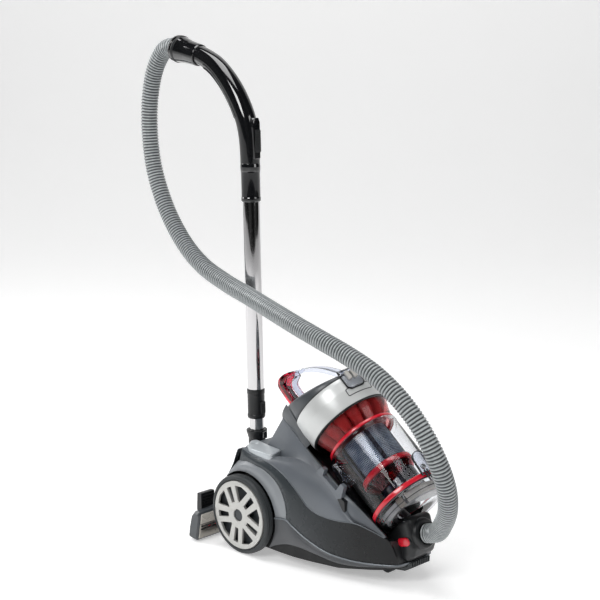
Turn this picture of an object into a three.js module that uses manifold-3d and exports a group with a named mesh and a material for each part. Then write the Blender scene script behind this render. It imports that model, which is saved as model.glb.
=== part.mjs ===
// A bagless canister vacuum cleaner, parked: the wand stands on its dock behind the rear wheels, and the
// hose runs from the hand grip over the body to the connector at the nose.
// Millimetres. +X points to the nose, +Y to the left, +Z up. The floor is z = 0.
import * as THREE from "three";
import { mergeVertices } from "three/addons/utils/BufferGeometryUtils.js";
import Module from "manifold-3d";

const wasm = await Module();
wasm.setup();

// ---- driving dimensions (x and z are counted from the floor point under the rear axle) ----
const GAP = 0.3; // clearance between touching pieces
const WALL = 3; // thickness of the moulded shells
const WHEEL_RADIUS = 82;
const WHEEL_INNER = 118; // |y| of the tyre's inner face
const WHEEL_OUTER = 143; // |y| of the tyre's outer face
const HUB_RADIUS = 70;
const AXLE_RADIUS = 6;
const BODY_HALF = 116; // half width of the body
const SHOULDER_HALF = 104; // half width of the raised middle of the body
const FIN_THICKNESS = 7;
const SADDLE_HALF = 58; // half width of the block that holds the bin's upper end
const BIN_TILT = 38.37; // degrees that the bin's axis dips below the horizontal
const BIN_START = new THREE.Vector3(175.15, 0, 283.6); // lower edge of the silver band, on the axis
const TROUGH_RADIUS = 95.3; // the cradle around the band, and around the clear bin
const TROUGH_LOW_RADIUS = 82.5;
const TROUGH_END = 225.5; // distance along the bin's axis where the cradle stops
const BAND_RADIUS = 91;
const BIN_RADIUS = 78;
const LID_END = 222; // distance along the bin's axis of the bottom lid's face
const WAND_LEAN = 1.49; // degrees that the parked wand leans back
const WAND_FOOT = -90.84; // x where the wand's axis meets the floor
const TUBE_RADIUS = 17.5;
const INNER_TUBE_RADIUS = 15.5;
const COLLAR_LOW = 238; // distances along the wand's axis
const COLLAR_HIGH = 301;
const SLEEVE_LOW = 698;
const SLEEVE_HIGH = 777;
const NOZZLE_HALF = 165;
const HOSE_RADIUS = 19;
const CASTER_X = 292;
const CASTER_TRAIL = 12;
const CASTER_RADIUS = 17;
const MOTOR_X = 10;
const MOTOR_Z = 118;

// Half width of the body seen from above, from the tail to the nose.
const PLAN = [
  [-73, 70], [-67, 96], [-58, 110], [-44, BODY_HALF], [90, BODY_HALF], [130, 114], [170, 107],
  [212, 97], [255, 86], [300, 72], [322, 62], [338, 48], [350, 28], [355, 12],
];
// The seam between the chassis and the upper housing, from the tail to the nose.
const SEAM = [
  [-90, 100], [70, 97], [105, 95], [133, 83], [170, 68], [212, 57], [281, 50], [350, 50], [400, 52],
];
// Top of the raised middle, and of the shoulders beside it.
const MIDDLE_TOP = [
  [-73, 150], [-68, 178], [-60, 200], [-45, 212], [-20, 217], [60, 215], [100, 205], [146, 190],
  [187, 165], [230, 130], [255, 112], [300, 88], [330, 66], [352, 55], [384, 53.5],
];
const SHOULDER_TOP = [
  [-73, 150], [-66, 178], [-56, 196], [-40, 204], [66, 203], [109, 166], [151, 136], [219, 124],
  [259, 108], [300, 86], [330, 64], [352, 54], [384, 53],
];
// The fins' outer faces seen from above, on the right side.
const FIN_LINE = [[10, -65], [54, -71], [80, -78], [130, -85], [196, -88], [263, -82], [335, -62]];
// The hose's middle line, from the cuff of the hand grip to the connector.
const HOSE_ROUTE = [
  [-335, 0, 1001.8], [-354, 0, 1004], [-376, 0, 996], [-396, 0, 975], [-413, 0, 945], [-424, 0, 910],
  [-431, 0, 865], [-430, 0, 800], [-414, -2, 731], [-368, -8, 652], [-300, -18, 588],
  [-228, -30, 551], [-135, -44, 527], [-53, -60, 515], [41, -84, 503], [132, -106, 491],
  [211, -117, 477], [278, -118, 460], [341, -117, 438], [398, -114, 404], [437, -109, 367],
  [463, -100, 325], [478, -85, 276], [478, -67, 232], [462, -44, 185], [432, -20, 144],
  [408, -5, 118.6], [390, 0, 110.2], [373.7, 0, 105.4],
];

// ---- solids ----

// Turns a closed geometry into a solid, facing outwards.
function solid(geometry, frame) {
  const plain = geometry.index ? geometry.toNonIndexed() : geometry;
  const bare = new THREE.BufferGeometry();
  bare.setAttribute("position", plain.getAttribute("position").clone());
  if (frame) bare.applyMatrix4(frame);
  const merged = mergeVertices(bare, 1e-4);
  const vertProperties = merged.attributes.position.array;
  const triVerts = new Uint32Array(merged.index.array);
  const made = new wasm.Manifold(new wasm.Mesh({ numProp: 3, vertProperties, triVerts }));
  if (made.volume() > 0) return made;
  for (let i = 0; i < triVerts.length; i += 3) {
    [triVerts[i + 1], triVerts[i + 2]] = [triVerts[i + 2], triVerts[i + 1]];
  }
  return new wasm.Manifold(new wasm.Mesh({ numProp: 3, vertProperties, triVerts }));
}

function joined(...solids) {
  return solids.reduce((a, b) => a.add(b));
}

// A block between two corners.
function block(x0, x1, y0, y1, z0, z1, frame) {
  const box = new THREE.BoxGeometry(x1 - x0, y1 - y0, z1 - z0);
  box.translate((x0 + x1) / 2, (y0 + y1) / 2, (z0 + z1) / 2);
  return solid(box, frame);
}

function outline(points) {
  return new THREE.Shape(points.map(([a, b]) => new THREE.Vector2(a, b)));
}

// An outline in x and z, from y0 to y1.
function sideSlab(points, y0, y1, frame) {
  const slab = new THREE.ExtrudeGeometry(outline(points), { depth: y1 - y0, bevelEnabled: false });
  slab.rotateX(Math.PI / 2).translate(0, y1, 0);
  return solid(slab, frame);
}

// An outline in x and y, from z0 to z1.
function planSlab(points, z0, z1) {
  const slab = new THREE.ExtrudeGeometry(outline(points), { depth: z1 - z0, bevelEnabled: false });
  return solid(slab.translate(0, 0, z0));
}

// A profile of [radius, height] turned about the z axis.
function turned(profile, sides = 26, frame = undefined) {
  const points = profile.map(([r, z]) => new THREE.Vector2(r, z));
  const first = points[0];
  const last = points[points.length - 1];
  if (first.x > 0 || last.x > 0) points.push(first.clone());
  return solid(new THREE.LatheGeometry(points, sides).rotateX(Math.PI / 2), frame);
}

// A straight rod between two points.
function rod(from, to, radius, sides = 16) {
  const a = new THREE.Vector3(...from);
  const b = new THREE.Vector3(...to);
  const length = a.distanceTo(b);
  const bar = new THREE.CylinderGeometry(radius, radius, length, sides).translate(0, length / 2, 0);
  const turn = new THREE.Quaternion().setFromUnitVectors(
    new THREE.Vector3(0, 1, 0), b.clone().sub(a).normalize());
  bar.applyQuaternion(turn).translate(a.x, a.y, a.z);
  return solid(bar);
}

// A round bar along a smooth line through the points.
function bar(points, radius, sides, steps, widen = 1) {
  const ring = [];
  for (let i = 0; i < sides; i += 1) {
    const turn = (2 * Math.PI * (i + 0.5)) / sides;
    ring.push([radius * Math.cos(turn), radius * widen * Math.sin(turn)]);
  }
  const path = new THREE.CatmullRomCurve3(points.map((p) => new THREE.Vector3(...p)));
  return solid(new THREE.ExtrudeGeometry(outline(ring), { steps, extrudePath: path }));
}

// A round spring standing on the z axis.
function spring(radius, wire, height, turns) {
  const points = [];
  const perTurn = 6;
  for (let i = 0; i <= turns * perTurn; i += 1) {
    const turn = (2 * Math.PI * i) / perTurn;
    const rise = wire + ((height - 2 * wire) * i) / (turns * perTurn);
    points.push([radius * Math.cos(turn), radius * Math.sin(turn), rise]);
  }
  return bar(points, wire, 4, turns * perTurn);
}

// Moves each corner of an outline inwards by a distance (outwards if it is negative).
function inset(points, distance) {
  const count = points.length;
  const area = points.reduce((sum, [x, y], i) => {
    const [u, v] = points[(i + 1) % count];
    return sum + x * v - u * y;
  }, 0);
  const side = Math.sign(area);
  return points.map(([x, y], i) => {
    const [a, b] = points[(i + count - 1) % count];
    const [c, d] = points[(i + 1) % count];
    const before = new THREE.Vector2(-(y - b), x - a).normalize();
    const after = new THREE.Vector2(-(d - y), c - x).normalize();
    const normal = before.add(after);
    const scale = (side * distance * 2) / normal.lengthSq();
    return [x + normal.x * scale, y + normal.y * scale];
  });
}

// A piece made for the right side (negative y), turned over for the left.
function mirrored(made) {
  const { vertProperties, triVerts } = made.getMesh();
  const geometry = new THREE.BufferGeometry();
  geometry.setAttribute("position", new THREE.BufferAttribute(vertProperties, 3));
  geometry.setIndex(new THREE.BufferAttribute(triVerts, 1));
  return solid(geometry, new THREE.Matrix4().makeScale(1, -1, 1));
}

// ---- scene ----

const vacuum = new THREE.Group();

function group(parent, position, turnY = 0) {
  const made = new THREE.Group();
  made.position.set(...position);
  made.rotation.y = THREE.MathUtils.degToRad(turnY);
  parent.add(made);
  return made;
}

function piece(parent, name, made, color, roughness, metalness = 0, opacity = 1) {
  const { vertProperties, triVerts } = made.getMesh();
  const geometry = new THREE.BufferGeometry();
  geometry.setAttribute("position", new THREE.BufferAttribute(vertProperties, 3));
  geometry.setIndex(new THREE.BufferAttribute(triVerts, 1));
  geometry.computeVertexNormals();
  const material = new THREE.MeshStandardMaterial({ color, roughness, metalness, opacity });
  material.transparent = opacity < 1;
  const mesh = new THREE.Mesh(geometry, material);
  mesh.name = name;
  parent.add(mesh);
}

const BODY_GREY = 0x4a5256;
const GLOSS_BLACK = 0x1d2022;
const SATIN_BLACK = 0x26292b;
const SILVER = 0xd7dada;
const CHROME = 0xd0d2d4;
const RED = 0xc81e32;
const CLEAR = 0xdfe6ea;
const RUBBER = 0x2b2e30;
const HOSE_GREY = 0xa2aaab;
const FOAM = 0x3c4044;
const STEEL = 0xa9acb0;

// The bin's own frame: its z runs along the bin's axis towards the nose, its x towards the floor.
const BIN_TURN = 90 + BIN_TILT;
const BIN_FRAME = new THREE.Matrix4()
  .makeRotationY(THREE.MathUtils.degToRad(BIN_TURN))
  .setPosition(BIN_START);

// ---- canister body ----

function bodyOutline(widen = 0) {
  const right = PLAN.map(([x, half]) => [x, -half]);
  const left = PLAN.map(([x, half]) => [x, half]).reverse();
  return inset([...right, [356, 0], ...left], -widen);
}

// The room that the bin lies in, with a relief for the hinge of its lid.
function trough(skin = 0) {
  const shape = [
    [0, -170], [TROUGH_RADIUS + skin, -170], [TROUGH_RADIUS + skin, 8],
    [TROUGH_LOW_RADIUS + skin, 50], [TROUGH_LOW_RADIUS + skin, TROUGH_END + skin],
    [0, TROUGH_END + skin],
  ];
  const relief = block(60, 91 + skin, -16 - skin, 16 + skin, 170, TROUGH_END, BIN_FRAME);
  return turned(shape, 36, BIN_FRAME).add(relief);
}

const CONNECTOR = [
  [306, 58], [304, 96], [310, 108], [331, 126], [345, 134], [355.5, 133.5], [372.5, 75], [368, 62],
  [358, 52], [330, 45],
];
const CONNECTOR_HALF = 36;

function connectorRoom() {
  const room = inset(CONNECTOR, -GAP * 2);
  return sideSlab(room, -CONNECTOR_HALF - GAP * 2, CONNECTOR_HALF + GAP * 2);
}

function chassisBase() {
  const floor = [[400, 44], [300, 30], [230, 20], [-58, 20], [-90, 40]];
  const shape = [...SEAM.map(([x, z]) => [x, z - GAP]), ...floor];
  const hollow = [...SEAM.map(([x, z]) => [x, z + 20]), ...floor.map(([x, z]) => [x, z + WALL])];
  const shell = sideSlab(shape, -200, 200).intersect(planSlab(bodyOutline(), 0, 150));
  const inside = sideSlab(hollow, -200, 200).intersect(planSlab(bodyOutline(-WALL), 0, 150));
  const pocketCover = rod([CASTER_X, 0, 20], [CASTER_X, 0, 48], 36);
  const stemBoss = rod([CASTER_X, 0, 46], [CASTER_X, 0, 62], 9);
  const pocket = rod([CASTER_X, 0, 0], [CASTER_X, 0, 44], 33);
  const stemHole = rod([CASTER_X, 0, 40], [CASTER_X, 0, 58], 4.4);
  const axleHole = rod([0, -200, WHEEL_RADIUS], [0, 200, WHEEL_RADIUS], AXLE_RADIUS + GAP);
  const glandHole = rod([-90, 78, 70], [-60, 78, 70], 6.4);
  const cover = pocketCover.intersect(shell);
  return joined(shell.subtract(inside), cover, stemBoss.intersect(planSlab(bodyOutline(), 0, 62)))
    .subtract(pocket)
    .subtract(stemHole)
    .subtract(axleHole)
    .subtract(glandHole)
    .subtract(connectorRoom())
    .subtract(trough());
}

const PEDAL = [[0, -113], [66, -115], [54, -75], [-34, -62], [-36, -74], [-16, -103]];
const PEDAL_LOW = 206;
const PEDAL_TOP = 220;
const SHELF_TOP = 191.7;
const SPRING_X = 22;
const SPRING_Y = 88;

function pedalRoom() {
  return planSlab(inset(PEDAL, -0.7), 200, 230);
}

function upperHousing() {
  const seam = [...SEAM].reverse();
  const middle = [...MIDDLE_TOP, ...seam];
  const shoulders = [...SHOULDER_TOP, ...seam];
  const saddle = [[8, 210], [42, 276], [50, 274], [122, 204], [122, 190]];
  const plan = planSlab(bodyOutline(), 0, 300);
  const full = joined(
    sideSlab(middle, -SHOULDER_HALF, SHOULDER_HALF),
    sideSlab(shoulders, -200, 200),
    sideSlab(saddle, -SADDLE_HALF, SADDLE_HALF),
  ).intersect(plan);
  const under = (line) => line.filter(([x]) => x < 240)
    .map(([x, z]) => [x < -50 ? x + WALL : x, z - 1.4 * WALL]);
  const belowSeam = seam.filter(([x]) => x < 220).map(([x, z]) => [x, z - 20]);
  const inside = joined(
    sideSlab([...under(MIDDLE_TOP), ...belowSeam], -SHOULDER_HALF + WALL, SHOULDER_HALF - WALL),
    sideSlab([...under(SHOULDER_TOP), ...belowSeam], -200, 200),
  ).intersect(planSlab(bodyOutline(-WALL), 0, 300));
  const shelf = block(2, 42, -114, -70, SHELF_TOP - 4, SHELF_TOP).intersect(plan);
  const grilleHole = block(-90, -60, -54, 54, 120, 170);
  return joined(full.subtract(inside.subtract(trough(WALL))), shelf, mirrored(shelf))
    .subtract(trough())
    .subtract(rod([CASTER_X, 0, 40], [CASTER_X, 0, 62 + GAP], 9 + GAP))
    .subtract(pedalRoom())
    .subtract(mirrored(pedalRoom()))
    .subtract(grilleHole)
    .subtract(block(344, 400, -60, 60, 40, 80))
    .subtract(connectorRoom());
}

function cradleFin() {
  const lower = MIDDLE_TOP.filter(([x]) => x >= 60 && x <= 330).map(([x, z]) => [x, z + GAP]);
  const upper = [[330, 100], [282, 139], [249, 162], [180, 204], [112, 245], [54, 281], [16, 236],
    [14, 217]];
  const inner = FIN_LINE.map(([x, y]) => [x, y + FIN_THICKNESS]).reverse();
  return sideSlab([...lower, ...upper], -200, 0)
    .intersect(planSlab([...FIN_LINE, ...inner], 0, 400))
    .subtract(trough());
}

// The gloss inlay between the shoulder and the seam, a curved plate outside the body's wall.
function sidePanel() {
  const face = [
    [122, 150], [151, 130], [219, 118], [259, 102], [300, 80], [326, 62], [322, 56], [281, 56], [212, 63],
    [172, 74], [138, 89], [124, 98],
  ];
  const skin = planSlab(bodyOutline(2.5), 0, 300).subtract(planSlab(bodyOutline(GAP), 0, 300));
  return sideSlab(face, -200, -40).intersect(skin);
}

function fender() {
  const arch = [];
  for (let i = 0; i <= 16; i += 1) {
    const turn = THREE.MathUtils.degToRad(-10 + 9 * i);
    arch.push([114 * Math.cos(turn), WHEEL_RADIUS + 114 * Math.sin(turn)]);
  }
  for (let i = 16; i >= 0; i -= 1) {
    const turn = THREE.MathUtils.degToRad(-10 + 9 * i);
    arch.push([87 * Math.cos(turn), WHEEL_RADIUS + 87 * Math.sin(turn)]);
  }
  return sideSlab(arch, -128, -BODY_HALF - GAP);
}

function exhaustGrille() {
  const plate = block(-76, -73 - GAP, -58, 58, 117, 173);
  let cut = plate;
  for (let i = 0; i < 8; i += 1) {
    const low = 122 + 6 * i;
    cut = cut.subtract(block(-80, -70, -50, -3, low, low + 3));
    cut = cut.subtract(block(-80, -70, 3, 50, low, low + 3));
  }
  return cut;
}

function noseBumper() {
  const shape = [[326, 26], [346, 29], [362, 38], [362, 49], [357.5, 49], [357.5, 37.6], [326, 33]];
  let made = sideSlab(shape, -30, 30);
  for (let i = -3; i <= 3; i += 1) {
    made = made.subtract(block(310, 370, i * 8 - 1, i * 8 + 1, 20, 30));
  }
  return made;
}

const SOCKET = new THREE.Vector3(358.7, 0, 101.1);
const SOCKET_AIM = new THREE.Vector3(0.96, 0, 0.28).normalize();
const SOCKET_DEPTH = 9;

function socketPoint(distance) {
  return SOCKET.clone().addScaledVector(SOCKET_AIM, distance).toArray();
}

const BUTTON = { x: 352, z: 91, halfLength: 13, halfHeight: 8 };

// A flat bar with round ends, lying in x and z.
function roundBar(x, z, halfLength, halfHeight, y0, y1) {
  const points = [];
  const reach = halfLength - halfHeight;
  for (let i = 0; i < 16; i += 1) {
    const turn = (2 * Math.PI * (i + 0.5)) / 16;
    const side = Math.cos(turn) > 0 ? reach : -reach;
    points.push([x + side + halfHeight * Math.cos(turn), z + halfHeight * Math.sin(turn)]);
  }
  return sideSlab(points, y0, y1);
}

function connectorBlock() {
  const room = roundBar(BUTTON.x, BUTTON.z, BUTTON.halfLength + 0.5, BUTTON.halfHeight + 0.5, -50, -26);
  return joined(
    sideSlab(CONNECTOR, -CONNECTOR_HALF, CONNECTOR_HALF),
    rod(socketPoint(-4), socketPoint(SOCKET_DEPTH), 29, 28),
  )
    .subtract(room)
    .subtract(rod(socketPoint(-40), socketPoint(SOCKET_DEPTH + 4), 14, 24))
    .subtract(trough());
}

function hoseCollar() {
  const ring = rod(socketPoint(SOCKET_DEPTH + GAP), socketPoint(SOCKET_DEPTH + 8), 27, 32);
  return ring.subtract(rod(socketPoint(SOCKET_DEPTH), socketPoint(SOCKET_DEPTH + 20), HOSE_RADIUS + 2, 24));
}

function dockBracket() {
  const body = block(-89.5, -73 - GAP, -11.5, 11.5, 58, 94);
  return body.subtract(block(-86.6, -79.8, -8, 8, 68, 110));
}

function motorCase() {
  const cup = [[14, -92], [52, -92], [52, -4], [49, -4], [49, -89], [14, -89]];
  return turned(cup, 20);
}

function motorFan() {
  const disc = [[0, -80], [5, -80], [5, -30], [44, -30], [44, -27], [8, -27], [8, -10], [0, -10]];
  let made = turned(disc, 16);
  for (let i = 0; i < 8; i += 1) {
    const turn = new THREE.Matrix4().makeRotationZ((Math.PI / 4) * i);
    made = made.add(block(7, 42, -1, 1, -28, -12, turn));
  }
  return made;
}

function cordReel() {
  const spool = [
    [6.4, 14], [60, 14], [60, 17], [26, 17], [26, 73], [60, 73], [60, 76], [6.4, 76],
  ];
  return turned(spool, 28);
}

// ---- wheels ----

function tyre() {
  const ring = [
    [HUB_RADIUS + GAP, WHEEL_INNER], [79, WHEEL_INNER], [WHEEL_RADIUS, WHEEL_INNER + 4],
    [WHEEL_RADIUS, WHEEL_OUTER - 5], [79, WHEEL_OUTER], [HUB_RADIUS + 3, WHEEL_OUTER],
    [HUB_RADIUS + GAP, WHEEL_OUTER - 3],
  ];
  return turned(ring, 40);
}

function hubCap() {
  const face = WHEEL_OUTER + 2;
  const bore = AXLE_RADIUS + GAP;
  const cap = [
    [bore, WHEEL_INNER + 3], [18, WHEEL_INNER + 3], [18, face - 8], [64, face - 8],
    [64, WHEEL_INNER + 3], [HUB_RADIUS, WHEEL_INNER + 3], [HUB_RADIUS, face - 3], [67, face],
    [14, face], [14, face - 4], [bore, face - 4],
  ];
  let made = turned(cap, 28);
  for (let i = 0; i < 5; i += 1) {
    const turn = THREE.MathUtils.degToRad(46 + 72 * i);
    const spin = new THREE.Matrix4().makeRotationZ(turn);
    made = made.subtract(block(30, 60, -6.5, 6.5, face - 12, face + 5, spin));
    const between = outline([[25, 18], [58, 17], [50, 36], [35, 50], [24, 29]]);
    const hole = new THREE.ExtrudeGeometry(between, { depth: 20, bevelEnabled: false });
    made = made.subtract(solid(hole.translate(0, 0, face - 14), spin));
  }
  return made;
}

function addWheel(side) {
  const wheel = group(vacuum, [0, 0, WHEEL_RADIUS]);
  wheel.rotation.x = side === "right" ? Math.PI / 2 : -Math.PI / 2;
  piece(wheel, `tyre_${side}`, tyre(), RUBBER, 0.75);
  piece(wheel, `hub_cap_${side}`, hubCap(), SILVER, 0.4, 0.3);
  const stub = turned([[0, 92], [AXLE_RADIUS, 92], [AXLE_RADIUS, WHEEL_OUTER - 3],
    [0, WHEEL_OUTER - 3]], 24);
  piece(wheel, `axle_${side}`, stub, STEEL, 0.35, 1);
}

function casterFork() {
  const wheelX = CASTER_X - CASTER_TRAIL;
  const leg = [[wheelX - 6, 12], [wheelX + 6, 12], [CASTER_X + 10, 41], [wheelX - 8, 41]];
  return joined(
    rod([CASTER_X, 0, 38], [CASTER_X, 0, 42], 16),
    rod([CASTER_X, 0, 40], [CASTER_X, 0, 57], 4),
    sideSlab(leg, -13, -10),
    sideSlab(leg, 10, 13),
    rod([wheelX, -12, CASTER_RADIUS], [wheelX, 12, CASTER_RADIUS], 3, 16),
  );
}

function casterWheel() {
  const half = 9;
  const ring = [[3.4, -half], [CASTER_RADIUS - 2, -half], [CASTER_RADIUS, -half + 2],
    [CASTER_RADIUS, half - 2], [CASTER_RADIUS - 2, half], [3.4, half]];
  const tilt = new THREE.Matrix4().makeRotationX(Math.PI / 2);
  tilt.setPosition(CASTER_X - CASTER_TRAIL, 0, CASTER_RADIUS);
  return turned(ring, 18, tilt);
}

// ---- bin, in its own frame ----

// A ring of one thickness whose outside follows a profile of [radius, height].
function shellRing(outside, wall) {
  const inside = outside.map(([r, z]) => [r - wall, z]).reverse();
  return [...outside, ...inside];
}

function binCover() {
  const tilted = (drop) => [[92, -109 + drop], [92, -50], [-92, -50], [-92, -61 + drop]];
  const solidPart = turned([[0, -140], [89, -140], [89, -58 - GAP], [0, -58 - GAP]], 28)
    .intersect(sideSlab(tilted(0), -100, 100));
  const hollow = turned([[0, -140], [85, -140], [85, -50], [0, -50]], 28)
    .intersect(sideSlab(tilted(4), -100, 100));
  return solidPart.subtract(hollow);
}

function cycloneBody() {
  const shell = [[24, 1], [BAND_RADIUS - 7, 1], [72.5, 38], [69.5, 38], [80, 4], [24, 4]];
  let made = turned(shell, 26);
  for (let i = 0; i < 6; i += 1) {
    const turn = (Math.PI / 3) * (i + 0.5);
    const place = new THREE.Matrix4()
      .makeTranslation(50 * Math.cos(turn), 50 * Math.sin(turn), 0);
    made = made.add(turned([[0, -44], [15, -44], [15, -20], [6, 34], [0, 34]], 8, place));
  }
  return made;
}

function dustBin() {
  const wall = shellRing([[75.5, 44], [76.5, 50], [BIN_RADIUS, 189.7]], 2.5);
  const shell = turned(wall, 28);
  const lugs = joined(block(74, 88, 7, 12, 176, 203), block(74, 88, -12, -7, 176, 203));
  const rest = turned([[0, 100], [BIN_RADIUS - 1, 100], [BIN_RADIUS - 1, 189.7],
    [BIN_RADIUS + 1.5, 189.7], [BIN_RADIUS + 1.5, 230], [0, 230]], 28);
  return shell.add(lugs.subtract(rest)).subtract(rod([84, -20, 199], [84, 20, 199], 3, 16));
}

function bottomLid() {
  const cup = [
    [0, LID_END], [64, LID_END], [73, LID_END - 5], [BIN_RADIUS, LID_END - 20],
    [BIN_RADIUS, 195.3], [BIN_RADIUS - 3, 195.3], [BIN_RADIUS - 3, LID_END - 20],
    [70, LID_END - 7], [62, LID_END - 3], [0, LID_END - 3],
  ];
  const lug = block(74, 88, -6, 6, 196, 204);
  const inlet = rod([46, 0, 200], [46, 0, 230], 17, 24);
  const room = turned([[0, 190], [BIN_RADIUS - 1, 190], [BIN_RADIUS - 1, 210], [0, 210]], 26);
  return turned(cup, 28)
    .add(lug.subtract(room))
    .subtract(rod([84, -20, 199], [84, 20, 199], 3, 16))
    .subtract(inlet);
}

// The spring clip that holds the bottom lid shut, on the bin's upper side.
function lidLatch() {
  const side = [
    [-84, 158], [-87, 158], [-87, 184], [-84, 200], [-84, 206], [-79.6, 206], [-79.6, 203],
    [-81.5, 200], [-83.5, 186],
  ];
  return sideSlab(side, -14, 14);
}

// ---- handle, in the canister's frame ----

function carryHandle() {
  const outer = [
    [48, 280], [41, 289], [20.5, 303], [4.5, 315.5], [-3, 324], [-3, 331], [6, 343], [22, 354],
    [46, 367.5], [70, 379], [98, 386], [128, 389], [156, 389.5], [184, 394],
  ];
  const inner = [
    [190, 386], [160, 378], [126, 379], [100, 376.5], [74, 371], [50, 361], [30, 350], [20, 341],
    [19, 331], [29, 320], [46, 309], [66, 300],
  ];
  const keepOff = turned([[0, -200], [89.3, -200], [89.3, -58], [BAND_RADIUS + GAP, -58],
    [BAND_RADIUS + GAP, 0], [0, 0]], 56, BIN_FRAME)
    .intersect(sideSlab([[92, -109.4], [92, 10], [-92, 10], [-92, -61.4]], -100, 100, BIN_FRAME));
  return sideSlab([...outer, ...inner], -12, 12).subtract(keepOff);
}

const TRIGGER = [
  [24, 286], [7, 299.5], [-11, 314], [-20, 325], [-17.5, 338], [-2, 351], [12, 358], [15, 353.5],
  [0, 347], [-11, 336.5], [-14, 326], [-8, 317.5], [8, 304], [26, 289],
];

// ---- wand, in its own frame: z runs up the tube ----

const WAND_FRAME = new THREE.Matrix4()
  .makeRotationY(THREE.MathUtils.degToRad(-WAND_LEAN))
  .setPosition(WAND_FOOT, 0, 0);

function inWand(x, z) {
  const point = new THREE.Vector3(x, 0, z).applyMatrix4(WAND_FRAME.clone().invert());
  return point.toArray();
}

function handGrip() {
  const line = [[-111, 765], [-112, 800], [-115, 832], [-124, 866], [-146, 905], [-177, 942],
    [-215, 972], [-262, 990]].map(([x, z]) => inWand(x, z));
  const sleeve = turned([[0, SLEEVE_LOW], [21.5, SLEEVE_LOW], [21.5, SLEEVE_LOW + 3],
    [20, SLEEVE_LOW + 5], [20, SLEEVE_HIGH], [0, SLEEVE_HIGH]], 26);
  const bore = rod([0, 0, SLEEVE_LOW - 5], [0, 0, SLEEVE_HIGH - 15], TUBE_RADIUS + GAP, 32);
  const pad = block(8, 23, -9, 9, 790, 866);
  const cuffRoom = rod(inWand(-262, 989), inWand(-300, 996), 40);
  return joined(sleeve, bar(line, 21, 12, 14), pad).subtract(bore).subtract(cuffRoom);
}

const CUFF_START = [-262.4, 988.9];
const CUFF_END = [-333.6, 1001.5];

function gripCuff() {
  const end = inWand(...CUFF_END);
  const start = inWand(...CUFF_START);
  const axis = new THREE.Vector3(end[0] - start[0], 0, end[2] - start[2]);
  const length = axis.length();
  const frame = new THREE.Matrix4().makeRotationY(Math.atan2(axis.x, axis.z));
  frame.setPosition(...start);
  return turned([[0, GAP], [23, GAP], [26, 10], [29, 26], [29, length], [0, length]], 28, frame);
}

const PIVOT_Z = 105;

function neck() {
  const tube = turned([
    [12, 128], [18, 128], [18, 196], [22, 208], [22, 212], [15.9, 212], [15.9, 150], [12, 150],
  ], 26);
  const barrel = rod([0, -12, PIVOT_Z], [0, 12, PIVOT_Z], 9, 24);
  const web = block(-7, 7, -12, 12, 106, 134);
  const tab = block(8, 12, -7, 7, 79, 150);
  const bore = rod([0, -30, PIVOT_Z], [0, 30, PIVOT_Z], 4.4, 16);
  const wellRoom = turned([[0, 150], [15.9, 150], [15.9, 230], [0, 230]], 26);
  return joined(tube, barrel, web, tab).subtract(bore).subtract(wellRoom);
}

function nozzleShell() {
  const side = [[-6, 92], [-4, 80], [-16, 6], [-22, 3], [-38, 22], [-33, 58], [-32, 86], [-24, 92]];
  const ear = [[-12, 80], [4, 80], [7, 104], [2, 113], [-10, 112]];
  const room = block(-16, 20, -12.6, 12.6, 86, 130);
  return joined(
    sideSlab(side, -NOZZLE_HALF, NOZZLE_HALF),
    sideSlab(ear, -20, -12.6),
    sideSlab(ear, 12.6, 20),
  )
    .subtract(room)
    .add(rod([0, -14, PIVOT_Z], [0, 14, PIVOT_Z], 4, 16))
    .add(block(-37 + GAP, -30, -3, 3, 73, 77));
}

function solePlate() {
  const side = [[-4 + GAP, 78], [-1.8, 78], [-13.4, 6], [-16 + GAP, 6]];
  return sideSlab(side, -NOZZLE_HALF + 3, NOZZLE_HALF - 3).subtract(
    block(-30, 20, -110, 110, 28, 36));
}

// ---- assembly ----

piece(vacuum, "chassis_base", chassisBase(), BODY_GREY, 0.5);
piece(vacuum, "upper_housing", upperHousing(), BODY_GREY, 0.45);
piece(vacuum, "cradle_fin_right", cradleFin(), BODY_GREY, 0.4);
piece(vacuum, "cradle_fin_left", mirrored(cradleFin()), BODY_GREY, 0.4);
piece(vacuum, "side_panel_right", sidePanel(), GLOSS_BLACK, 0.15);
piece(vacuum, "side_panel_left", mirrored(sidePanel()), GLOSS_BLACK, 0.15);
piece(vacuum, "fender_right", fender(), BODY_GREY, 0.4);
piece(vacuum, "fender_left", mirrored(fender()), BODY_GREY, 0.4);
piece(vacuum, "exhaust_grille", exhaustGrille(), SATIN_BLACK, 0.5);
piece(vacuum, "exhaust_filter", block(-69, -61, -52, 52, 122, 168), SILVER, 0.9);
piece(vacuum, "dock_bracket", dockBracket(), SATIN_BLACK, 0.5);
piece(vacuum, "nose_bumper", noseBumper(), RUBBER, 0.7);
piece(vacuum, "connector_block", connectorBlock(), SATIN_BLACK, 0.35);
piece(vacuum, "hose_collar", hoseCollar(), SATIN_BLACK, 0.35);
piece(vacuum, "cord_gland",
  turned([[4, -5], [9, -5], [9, -GAP], [6, -GAP], [6, 6], [4, 6]], 24,
    new THREE.Matrix4().makeRotationY(Math.PI / 2).setPosition(-73, 78, 70)),
  RUBBER, 0.7);

const release = roundBar(BUTTON.x, BUTTON.z, BUTTON.halfLength, BUTTON.halfHeight, -39.5, -30);
piece(vacuum, "hose_release_button", release, RED, 0.35);

for (const [side, turn] of [["power", 1], ["rewind", -1]]) {
  const plate = planSlab(PEDAL, PEDAL_LOW, PEDAL_TOP);
  piece(vacuum, `${side}_pedal`, turn > 0 ? plate : mirrored(plate), SILVER, 0.35);
  const place = group(vacuum, [SPRING_X, -turn * SPRING_Y, SHELF_TOP + GAP]);
  piece(place, `${side}_spring`, spring(6, 0.9, PEDAL_LOW - SHELF_TOP - 2 * GAP, 4), STEEL, 0.3, 1);
}

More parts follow.
